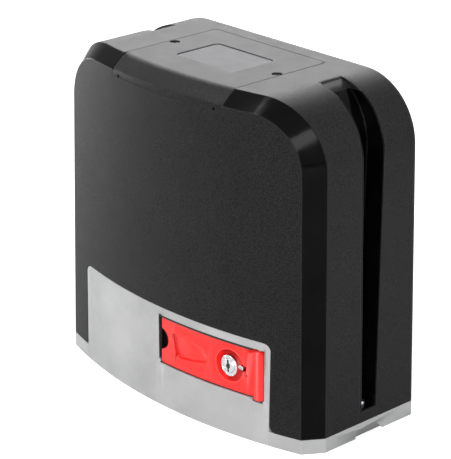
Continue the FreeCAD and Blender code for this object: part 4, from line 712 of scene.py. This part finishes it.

# %% [markdown]
# ## Window in the skirt
# The opening for the door has a rounded, chamfered left end, and thin black
# strips line it: they are painted shade, dark stand-ins for the shadow in the
# gap round the door. The wider end is cut into a copy of the casting. The
# strips follow the bowed skirt, so their places are found with rays as well.

# %% Window
casting_node = nodes["base_casting"]
window_left, window_low, window_high = -0.0052, 0.0400, 0.0850
corner_radius = 0.0030
cut_end = 0.001
above_window = 0.0870
left_face = face_depth(casting_node, window_left, above_window)
wide_end, chamfer = [], []
for z, up in ((window_low, 1), (window_high, -1)):
    for a in quarter_turn:
        x = window_left + corner_radius * (1 - math.cos(a))
        level = z + up * corner_radius * (1 - math.sin(a))
        wide_end += [(x, left_face - 0.01, level), (x, left_face + 0.02, level)]
        chamfer += [(x - 0.0044 * math.cos(a), left_face - 0.0011,
                     level - up * 0.00176 * math.sin(a)), (x, left_face + 0.0011, level)]
    wide_end += [(cut_end, left_face - 0.01, z), (cut_end, left_face + 0.02, z)]
    chamfer += [(cut_end, left_face - 0.0011, z), (cut_end, left_face + 0.0011, z)]
skirt = smooth(carve(merged_copy(casting_node), [hull(wide_end), hull(chamfer)]), 32)
along = [(x, face_depth(casting_node, x, above_window))
         for x in [-0.004 + 0.0065 * i for i in range(17)]]
at_end = [(window_left + shift, left_face) for shift in (-0.0001, 0.0006)]
# Black strips under the head, on the sill and at the left end: painted shade for the dark gap
# round the door.
shade_strips = (("shade_strip_sill", along, 0.0008, window_low - 0.0004, window_low),
         ("shade_strip_head", along, 0.0004, window_high - 0.0021, window_high + 0.0001),
         ("shade_strip_side", at_end, 0.0012, window_low + corner_radius, window_high - corner_radius))
shade_strip_back = 0.0042
piece("skirted_base", skirt, "silver_casting", "base", ["base_casting"])
for label, stations, shade_strip_front, low, high in shade_strips:
    bar = loft([[(x, y + shade_strip_front, low), (x, y + shade_strip_back, low), (x, y + shade_strip_back, high),
                 (x, y + shade_strip_front, high)] for x, y in stations])
    piece(label, rounded(bar, 0.0001), "black_rubber", "base")

# %% [markdown]
# ## Channel trims
# A polished strip lines each channel in the cover's ends. Where a channel runs
# out at the top, the matt moulding takes over again, so the copy of the strip
# is cut across there and the faces above the cut get the other finish.

# %% Channel trims
trim_end = 0.2925
for side in ("left", "right"):
    trim_mesh = merged_copy(nodes[side + "_channel_trim"])
    form = bmesh.new()
    form.from_mesh(trim_mesh)
    bmesh.ops.bisect_plane(form, geom=form.verts[:] + form.edges[:] + form.faces[:],
                           plane_co=(0, 0, trim_end), plane_no=(0, 0, 1))
    for face in form.faces:
        face.material_index = 1 if face.calc_center_median().z > trim_end else 0
    form.to_mesh(trim_mesh)
    form.free()
    trim_mesh.materials.append(finishes["trim_gloss"])
    trim_mesh.materials.append(cover_black)
    piece(side + "_trim_strip", trim_mesh, "trim_gloss", "cover", [side + "_channel_trim"])

# %% [markdown]
# ## Hatch
# The hatch is a thin lid that runs over the top and down the front bevel. Its
# front edge is rolled, not sharp. So it is lofted: the same cross-section is
# laid at many stations across the hatch, each moved to where rays meet the
# CAD hatch, and its two corners are replaced by arcs.

# %% Cross-section of the hatch
hatch = nodes["top_hatch"]
hatch_low, hatch_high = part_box("top_hatch")
hatch_wall = 0.0025
rear_radius = 0.0040
lip_level = 0.2865


def meet(a, b, c, d):
    """Where the line through a and b crosses the line through c and d."""
    way, other = b - a, d - c
    return a + way * (c - a).cross(other) / way.cross(other)


def arc(before, corner, after, radius, steps):
    """Points of the arc that rounds a corner of an outline."""
    into = (before - corner).normalized()
    out = (after - corner).normalized()
    half = into.angle(out) / 2
    centre = corner + (into + out).normalized() * radius / math.sin(half)
    first = corner + into * radius / math.tan(half) - centre
    last = corner + out * radius / math.tan(half) - centre
    turn = first.angle_signed(last)
    return [centre + Matrix.Rotation(-turn * step / steps, 2) @ first
            for step in range(steps + 1)]


def hatch_section(x):
    """The hatch's closed outline in Y and Z at one station."""
    probe = max(min(x, hatch_high[0] - 0.0004), hatch_low[0] + 0.0004)
    lip, *slope = [Vector((face_depth(hatch, probe, z), z)) for z in (lip_level, 0.2910, 0.2980)]
    foot = Vector((lip.x - 0.00005, hatch_low[2]))
    over = max(0.0, abs(x) - (hatch_high[0] - rear_radius))
    rear = hatch_high[1] - rear_radius + math.sqrt(max(0.0, rear_radius ** 2 - over ** 2))
    end = Vector((rear, hatch_high[2]))
    knee = meet(foot, lip, *slope)
    crest = meet(*slope, Vector((0, hatch_high[2])), end)
    outer = [foot] + arc(foot, knee, crest, 0.0050, 6) + arc(knee, crest, end, 0.0110, 10) + [end]
    inner = [spot + Vector((0.0, -hatch_wall)) for spot in outer[1:]]
    inner = [spot + Vector((hatch_wall * 0.62, 0.0008)) if spot.x < crest.x else spot
             for spot in inner]
    return outer + inner[::-1] + [foot + Vector((hatch_wall, 0.0))]


print("outline of the middle section:", len(hatch_section(0.0)), "points")

# %% Hatch skin
steps = 48
across_hatch = [-hatch_high[0] * math.cos(math.pi * i / steps) for i in range(steps + 1)]
lid = loft([[(x, spot.x, spot.y) for spot in hatch_section(x)] for x in across_hatch])
print("hatch skin has", len(lid.polygons), "faces before it is cut")

# %% [markdown]
# The lid gets the recess for the badge plate, a stepped hole for each screw
# and two small notches in the lip for a flat tool. A rounded rectangle is
# the hull of four short cylinders.

# %% Cuts in the hatch


def post(x, y, low, radius, sides=40):
    """Rim points of an upright cylinder that reaches up past the lid."""
    return [(x + radius * math.cos(a), y + radius * math.sin(a), z) for a in turns(sides)
            for z in (low, 0.305)]


badge_corner = 0.0040
inset_x, inset_y = 0.03525 - badge_corner, 0.0243 - badge_corner
recess = [spot for x in (-inset_x, inset_x) for y in (-inset_y, inset_y)
          for spot in post(x, y, 0.2986, badge_corner)]
hatch_cuts = [hull(recess)]
for x in (-0.0633, 0.0633):
    hatch_cuts += [hull(post(x, 0.0, 0.2981, 0.0043)), hull(post(x, 0.0, 0.290, 0.0021))]
for x in (-0.0595, 0.0595):
    front = face_depth(hatch, x, lip_level)
    hatch_cuts.append(hull([(x + dx, front + dy, z) for dx in (-0.0015, 0.0015)
                            for dy in (-0.002, 0.0016) for z in (0.280, 0.2854)]))
piece("hatch_lid", rounded(carve(lid, hatch_cuts), 0.0003, 60), "cover_black", "hatch",
      ["top_hatch"])

# %% [markdown]
# ## Screws
# Screws repeat, and all follow one rule: a domed head with a six-sided
# socket on a threaded shank. That is a job for Geometry Nodes. One tree
# builds a screw from named sizes and sets it on every point it is given. The
# thread is a wave that climbs as it goes round: the radius depends on the
# height and the angle together. A small class keeps the trees short: each of
# its methods adds one node and returns the socket to go on from.

# %% A class for Geometry Nodes


class Tree:
    """A tree with a mesh, named sizes and a material in, and a mesh out."""

    def __init__(self, name, sizes):
        self.group = bpy.data.node_groups.new(name, "GeometryNodeTree")
        rim = self.group.interface
        rim.new_socket("Mesh", in_out="INPUT", socket_type="NodeSocketGeometry")
        for label, value in sizes.items():
            kind = "NodeSocketInt" if isinstance(value, int) else "NodeSocketFloat"
            rim.new_socket(label, in_out="INPUT", socket_type=kind).default_value = value
        rim.new_socket("Material", in_out="INPUT", socket_type="NodeSocketMaterial")
        rim.new_socket("Mesh", in_out="OUTPUT", socket_type="NodeSocketGeometry")
        self.given = self.group.nodes.new("NodeGroupInput").outputs
        self.result = self.group.nodes.new("NodeGroupOutput").inputs[0]

    def put(self, kind, inputs, **settings):
        """Adds a node. Its inputs are values or sockets."""
        node = self.group.nodes.new(kind)
        for key, value in settings.items():
            setattr(node, key, value)
        for key, value in inputs.items():
            if isinstance(value, bpy.types.NodeSocket):
                self.group.links.new(value, node.inputs[key])
            else:
                node.inputs[key].default_value = value
        return node.outputs

    def calc(self, how, first, second=0.0):
        return self.put("ShaderNodeMath", {0: first, 1: second}, operation=how)[0]

    def times(self, first, second):
        return self.calc("MULTIPLY", first, second)

    def vector(self, x=0.0, y=0.0, z=0.0):
        return self.put("ShaderNodeCombineXYZ", {"X": x, "Y": y, "Z": z})[0]

    def position(self):
        """The three coordinates of each point."""
        place = self.put("GeometryNodeInputPosition", {})[0]
        return tuple(self.put("ShaderNodeSeparateXYZ", {0: place}))

    def cube(self, x, y, z):
        return self.put("GeometryNodeMeshCube", {"Size": self.vector(x, y, z)})["Mesh"]

    def cylinder(self, sides, radius, depth, rows=1):
        return self.put("GeometryNodeMeshCylinder", {"Vertices": sides, "Side Segments": rows,
                                                     "Radius": radius, "Depth": depth})["Mesh"]

    def shifted(self, part, x=0.0, y=0.0, z=0.0):
        return self.put("GeometryNodeTransform", {"Geometry": part,
                                                  "Translation": self.vector(x, y, z)})[0]

    def reshaped(self, part, x, y, z):
        """Gives every point of a part a new place."""
        return self.put("GeometryNodeSetPosition", {"Geometry": part,
                                                    "Position": self.vector(x, y, z)})[0]

    def cut(self, part, tool):
        return self.put("GeometryNodeMeshBoolean", {"Mesh 1": part, "Mesh 2": tool},
                        operation="DIFFERENCE")["Mesh"]

    def gathered(self, *parts):
        joint = self.group.nodes.new("GeometryNodeJoinGeometry")
        for part in parts:
            self.group.links.new(part, joint.inputs[0])
        return joint.outputs[0]

    def wire(self, path, sides, caps=False):
        """A round wire along a curve."""
        section = self.put("GeometryNodeCurvePrimitiveCircle", {"Resolution": sides,
                                                                "Radius": self.given["Wire"]})[0]
        return self.put("GeometryNodeCurveToMesh", {"Curve": path, "Profile Curve": section,
                                                    "Fill Caps": caps})[0]

    def row(self, part, count, pitch):
        """Copies of a part in a row along X."""
        spots = self.put("GeometryNodeMeshLine", {"Count": count,
                                                  "Offset": self.vector(x=pitch)})[0]
        return self.copies(spots, part)

    def copies(self, spots, part, turn=(0, 0, 0)):
        return self.put("GeometryNodeInstanceOnPoints", {"Points": spots, "Instance": part,
                                                         "Rotation": turn})[0]

    def end(self, part, turn=(0, 0, 0)):
        """Sets the part on the points given, as real geometry with its material."""
        real = self.put("GeometryNodeRealizeInstances",
                        {"Geometry": self.copies(self.given["Mesh"], part, turn)})[0]
        dressed = self.put("GeometryNodeSetMaterial", {"Geometry": real,
                                                       "Material": self.given["Material"]})[0]
        self.group.links.new(dressed, self.result)
        print("nodes in the tree", self.group.name + ":", len(self.group.nodes))

    def grown(self, spots, finish, **sizes):
        """Runs the tree on points and returns the plain mesh."""
        points = bpy.data.meshes.new("points")
        points.from_pydata([tuple(spot) for spot in spots], [], [])
        thing = shown(self.group.name, points)
        step = thing.modifiers.new("grow", "NODES")
        step.node_group = self.group
        wanted = {label.replace("_", " "): value for label, value in sizes.items()}
        wanted["material"] = finish
        for item in self.group.interface.items_tree:
            if item.in_out == "INPUT" and item.name.lower() in wanted:
                step[item.identifier] = wanted[item.name.lower()]
        made = finished(thing)
        form = bmesh.new()
        form.from_mesh(made)
        bmesh.ops.recalc_face_normals(form, faces=form.faces)
        form.to_mesh(made)
        form.free()
        return smooth(made, 35)


print("class ready")

# %% The screw tree
thread_depth = 0.07
screw = Tree("screw_set", {
    "Head radius": 0.004, "Head height": 0.003, "Dome": 0.2, "Socket radius": 0.002,
    "Shank radius": 0.002, "Shank length": 0.012, "Pitch": 0.001, "Rows": 60, "Tilt": 0.0})
size = screw.given
x_now, y_now, z_now = screw.position()
climb = screw.calc("DIVIDE", screw.times(z_now, math.tau), size["Pitch"])
around = screw.calc("ARCTAN2", y_now, x_now)
wave = screw.calc("SINE", screw.calc("SUBTRACT", climb, around))
thread = screw.calc("ADD", screw.times(wave, thread_depth), 1 - thread_depth)
shank = screw.cylinder(18, size["Shank radius"], size["Shank length"], size["Rows"])
shank = screw.reshaped(shank, screw.times(x_now, thread), screw.times(y_now, thread), z_now)
shank = screw.shifted(shank, z=screw.times(size["Shank length"], -0.5))
height = screw.calc("ADD", screw.calc("DIVIDE", z_now, size["Head height"]), 0.5)
fall = screw.times(screw.calc("POWER", height, 4.0), size["Dome"])
shrink = screw.calc("SUBTRACT", 1.0, fall)
head = screw.cylinder(36, size["Head radius"], size["Head height"], 6)
head = screw.reshaped(head, screw.times(x_now, shrink), screw.times(y_now, shrink), z_now)
hexagon = screw.cylinder(6, size["Socket radius"], size["Head height"])
head = screw.cut(head, screw.shifted(hexagon, z=screw.times(size["Head height"], 0.6)))
head = screw.shifted(head, z=screw.times(size["Head height"], 0.5))
screw.end(screw.gathered(shank, head), screw.vector(x=size["Tilt"]))

# %% [markdown]
# The CAD model says where each screw sits. A CAD node can hold several
# screws, so its mesh is parted into islands, and the box of each island gives
# the screw's place, its length and the width of its head.

# %% Places of the CAD screws


def islands(label):
    """The low and high corners of each separate solid in a CAD node."""
    form = bmesh.new()
    form.from_mesh(merged_copy(nodes[label]))
    left, boxes = set(form.verts), []
    while left:
        front, spots = [left.pop()], []
        while front:
            at = front.pop()
            spots.append(at.co)
            for edge in at.link_edges:
                other = edge.other_vert(at)
                if other in left:
                    left.remove(other)
                    front.append(other)
        boxes.append((Vector([min(c[i] for c in spots) for i in range(3)]),
                      Vector([max(c[i] for c in spots) for i in range(3)])))
    form.free()
    return sorted(boxes, key=lambda box: tuple(box[0]))


def screws(label, name, body, axis, head_height, shank_radius, finish=None, sink=0.0):
    """Threaded screws in place of a CAD node. The heads look along the axis."""
    boxes = islands(label)
    low, high = boxes[0]
    along, back_turned, tilt = {"Z": (2, False, 0.0), "-Y": (1, True, math.pi / 2)}[axis]
    across = (high[0] - low[0]) / 2
    length = high[along] - low[along] - head_height - sink
    pitch = shank_radius * 0.42
    spots = []
    for low, high in boxes:
        spot = (low + high) / 2
        spot[along] = (low[along] + head_height + sink if back_turned
                       else high[along] - head_height - sink)
        spots.append(spot)
    made = screw.grown(spots, finish or finishes["screw_steel"], head_radius=across,
                       head_height=head_height, dome=0.16, socket_radius=across * 0.48,
                       shank_radius=shank_radius, shank_length=length, pitch=pitch,
                       rows=int(length / pitch * 6), tilt=tilt)
    piece(name, made, "screw_steel", body, [label])


print("screws in the gear cover:", len(islands("gear_cover_screws")))

# %% Screws in place
# The hatch screws take the near-black steel: painted shade of their deep holes.
screws("hatch_screws", "hatch_screw_pair", "hatch", "Z", 0.0009, 0.00175, shaded_black, 0.0006)
screws("left_cover_screw", "left_cover_bolt", "cover", "Z", 0.0036, 0.0024)
screws("right_cover_screw", "right_cover_bolt", "cover", "Z", 0.0036, 0.0024)
screws("gear_cover_screws", "gear_cover_bolts", "base", "-Y", 0.0019, 0.0016)
screws("gear_housing_screws", "gear_housing_bolts", "base", "Z", 0.0040, 0.0029)
screws("motor_screws", "motor_bolts", "base", "Z", 0.0024, 0.0019)

# %% [markdown]
# ## Release spring and transformer
# A spring and a toroidal winding are both wire that follows a rule, so both
# are curves with a round section, made by Geometry Nodes. The spring is a
# plain spiral. The winding goes round the ring's section many times while it
# goes round the ring once, and the section is squared with a power.

# %% Spring
coil = Tree("coil", {"Turns": 3.5, "Radius": 0.006, "Height": 0.0036, "Wire": 0.0004,
                     "Tilt": 0.0})
size = coil.given
spiral = coil.put("GeometryNodeCurveSpiral", {
    "Resolution": 40, "Rotations": size["Turns"], "Start Radius": size["Radius"],
    "End Radius": size["Radius"], "Height": size["Height"]})[0]
coil.end(coil.wire(spiral, 10, True), coil.vector(x=size["Tilt"]))
spring_low, spring_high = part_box("release_spring")
spring_wire = 0.0004
spring_seat = ((spring_low[0] + spring_high[0]) / 2, spring_low[1] + spring_wire,
               (spring_low[2] + spring_high[2]) / 2)
spring = coil.grown([spring_seat], finishes["screw_steel"], turns=3.5, radius=0.006,
                    height=spring_high[1] - spring_low[1] - 2 * spring_wire, wire=spring_wire,
                    tilt=-math.pi / 2)
piece("return_spring", spring, "screw_steel", "base", ["release_spring"])

# %% Transformer winding
squareness = 0.45
winding = Tree("ring_winding", {
    "Turns": 66, "Steps": 24, "Ring radius": 0.0165, "Half width": 0.0086,
    "Half height": 0.0141, "Wire": 0.0008})
size = winding.given
count = winding.times(size["Turns"], size["Steps"])
loop = winding.put("GeometryNodeCurvePrimitiveCircle", {"Resolution": count, "Radius": 1.0})[0]
share = winding.calc("DIVIDE", winding.put("GeometryNodeInputIndex", {})[0], count)
ring_angle = winding.times(share, math.tau)
wire_angle = winding.times(ring_angle, size["Turns"])


def squared(how, half):
    """A sine or cosine pushed outwards, times half of the section's size."""
    value = winding.calc(how, wire_angle)
    bulge = winding.calc("POWER", winding.calc("ABSOLUTE", value), squareness)
    return winding.times(winding.times(bulge, half), winding.calc("SIGN", value))


reach_out = winding.calc("ADD", size["Ring radius"], squared("COSINE", size["Half width"]))
wound = winding.reshaped(loop, winding.times(reach_out, winding.calc("COSINE", ring_angle)),
                         winding.times(reach_out, winding.calc("SINE", ring_angle)),
                         squared("SINE", size["Half height"]))
winding.end(winding.wire(wound, 6))
coil_low, coil_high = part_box("transformer")
coil_middle = Vector([(a + b) / 2 for a, b in zip(coil_low, coil_high)])
piece("transformer_winding", winding.grown([coil_middle], finishes["winding_copper"], turns=66),
      "winding_copper", "base")
ring_core = lathe([(0.0088, 0.002), (0.0105, 0.0012), (0.0225, 0.0012), (0.0244, 0.003),
                   (0.0244, 0.027), (0.0225, 0.0288), (0.0105, 0.0288), (0.0088, 0.028)],
                  (coil_middle.x, coil_middle.y, coil_low[2]), (0, 0, 1), 72)
piece("transformer_ring", ring_core, "dark_plastic", "base", ["transformer"])

# %% [markdown]
# ## Control board
# The board carries two rows of screw terminals, three relays, and small parts
# that every such board has: driver chips on legs, a finned heat sink, cans
# and a scatter of chip resistors. Rows of equal blocks are one tree, and the
# scatter is another with a fixed seed, so every run gives the same board.

# %% Terminals
pole_count, pole_pitch = 12, 0.005
poles = Tree("pole_row", {"Poles": pole_count, "Pitch": pole_pitch, "Depth": 0.009,
                          "Height": 0.011, "Hole": 0.0017})
size = poles.given
block = poles.cube(poles.times(size["Pitch"], 0.965), size["Depth"], size["Height"])
shaft = poles.shifted(poles.cylinder(20, size["Hole"], size["Height"]),
                      z=poles.times(size["Height"], 0.70))
entry = poles.shifted(poles.cube(poles.times(size["Pitch"], 0.68), size["Depth"],
                                 poles.times(size["Height"], 0.34)),
                      y=poles.times(size["Depth"], 0.72), z=poles.times(size["Height"], -0.16))
pole = poles.cut(block, poles.gathered(shaft, entry))
poles.end(poles.row(pole, size["Poles"], size["Pitch"]))
block_starts, clamp_spots = [], []
for low, high in islands("terminal_blocks"):
    middle = (low + high) / 2
    block_starts.append((low.x + pole_pitch / 2, middle.y, middle.z))
    clamp_spots += [(low.x + pole_pitch * (i + 0.5), middle.y, high.z - 0.0030)
                    for i in range(pole_count)]
piece("terminal_rows", poles.grown(block_starts, finishes["terminal_green"], poles=pole_count),
      "terminal_green", "base", ["terminal_blocks"])
clamps = screw.grown(clamp_spots, finishes["screw_steel"], head_radius=0.0015,
                     head_height=0.0010, dome=0.1, socket_radius=0.0007, shank_radius=0.0012,
                     shank_length=0.0030, pitch=0.0006, rows=20)
piece("terminal_clamps", clamps, "screw_steel", "base")

# %% Rows of blocks
leg_pitch = 0.00254
blocks = Tree("block_row", {"Count": 8, "Pitch": leg_pitch, "Length": 0.001, "Width": 0.001,
                            "Height": 0.003})
size = blocks.given
blocks.end(blocks.row(blocks.cube(size["Length"], size["Width"], size["Height"]),
                      size["Count"], size["Pitch"]))
board_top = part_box("control_board")[1][2]
chip_spots = [(0.030, 0.016), (0.030, 0.000), (-0.016, 0.004)]
leg_spots = [(x - 3.5 * leg_pitch, y + side) for x, y in chip_spots
             for side in (-0.0037, 0.0037)]


def block_row(name, spots, lift, finish, radius=0.0, **sizes):
    """Rows of blocks on the board, lifted by a height above it."""
    made = blocks.grown([(x, y, board_top + lift) for x, y in spots], finishes[finish], **sizes)
    piece(name, rounded(made, radius) if radius else made, finish, "base")


block_row("chip_bodies", chip_spots, 0.0026, "dark_plastic", 0.0003, count=1, length=0.0205,
          width=0.0066, height=0.0034)
block_row("chip_legs", leg_spots, 0.0014, "screw_steel", count=8, length=0.0006, width=0.0008,
          height=0.0028)
block_row("heat_sink_fins", [(0.0550, 0.008)], 0.0098, "raw_aluminium", count=8, pitch=0.0030,
          length=0.0010, width=0.024, height=0.0160)
block_row("heat_sink_foot", [(0.0655, 0.008)], 0.0011, "raw_aluminium", 0.0002, count=1,
          length=0.0240, width=0.026, height=0.0020)

# %% Scattered chip resistors
scatter = Tree("scatter", {
    "Count": 60, "Seed": 4, "Reach x": 0.028, "Reach y": 0.012, "Length": 0.0020,
    "Width": 0.0012, "Height": 0.0007})
size = scatter.given
low_end = scatter.vector(scatter.times(size["Reach x"], -1.0),
                         scatter.times(size["Reach y"], -1.0))
high_end = scatter.vector(size["Reach x"], size["Reach y"])
anywhere = scatter.put("FunctionNodeRandomValue", {0: low_end, 1: high_end,
                                                   "Seed": size["Seed"]},
                       data_type="FLOAT_VECTOR")[0]
quarter = scatter.put("FunctionNodeRandomValue", {4: 0, 5: 1, "Seed": size["Seed"]},
                      data_type="INT")[2]
spots = scatter.put("GeometryNodePoints", {"Count": size["Count"], "Position": anywhere})[0]
chip = scatter.cube(size["Length"], size["Width"], size["Height"])
turn = scatter.vector(z=scatter.times(quarter, math.pi / 2))
scatter.end(scatter.copies(spots, chip, turn))
resistors = scatter.grown([(-0.038, 0.008, board_top + 0.00035)], finishes["dark_plastic"],
                          count=60)
piece("chip_resistors", resistors, "dark_plastic", "base")

# %% Cans and relays
can_profile = [(0.0, 0.0), (0.0048, 0.0), (0.0050, 0.0004), (0.0050, 0.0013), (0.0047, 0.0017),
               (0.0050, 0.0021), (0.0050, 0.0112), (0.0046, 0.0118), (0.0, 0.0118)]
can_spots = ((-0.058, -0.020), (-0.058, -0.032), (0.020, -0.026), (0.033, -0.026))
for number, (x, y) in enumerate(can_spots):
    piece(f"can_{number}", lathe(can_profile, (x, y, board_top), (0, 0, 1), 40),
          "capacitor_grey", "base")
piece("relay_cases", rounded(merged_copy(nodes["board_relays"]), 0.0007, segments=3),
      "dark_plastic", "base", ["board_relays"])

# %% Run capacitor
run_low, run_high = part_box("run_capacitor")
run_radius = (run_high[2] - run_low[2]) / 2
run_length = run_high[0] - run_low[0]
run_can = lathe([(0.0, 0.0), (run_radius - 0.002, 0.0), (run_radius, 0.0016),
                 (run_radius, run_length - 0.0045), (run_radius - 0.0011, run_length - 0.0036),
                 (run_radius - 0.0002, run_length - 0.0024), (run_radius - 0.0008, run_length),
                 (run_radius - 0.0024, run_length), (run_radius - 0.0030, run_length - 0.0016),
                 (0.0, run_length - 0.0016)],
                (run_low[0], (run_low[1] + run_high[1]) / 2, run_low[2] + run_radius),
                (1, 0, 0), 96)
piece("run_capacitor_can", run_can, "capacitor_grey", "base", ["run_capacitor"])
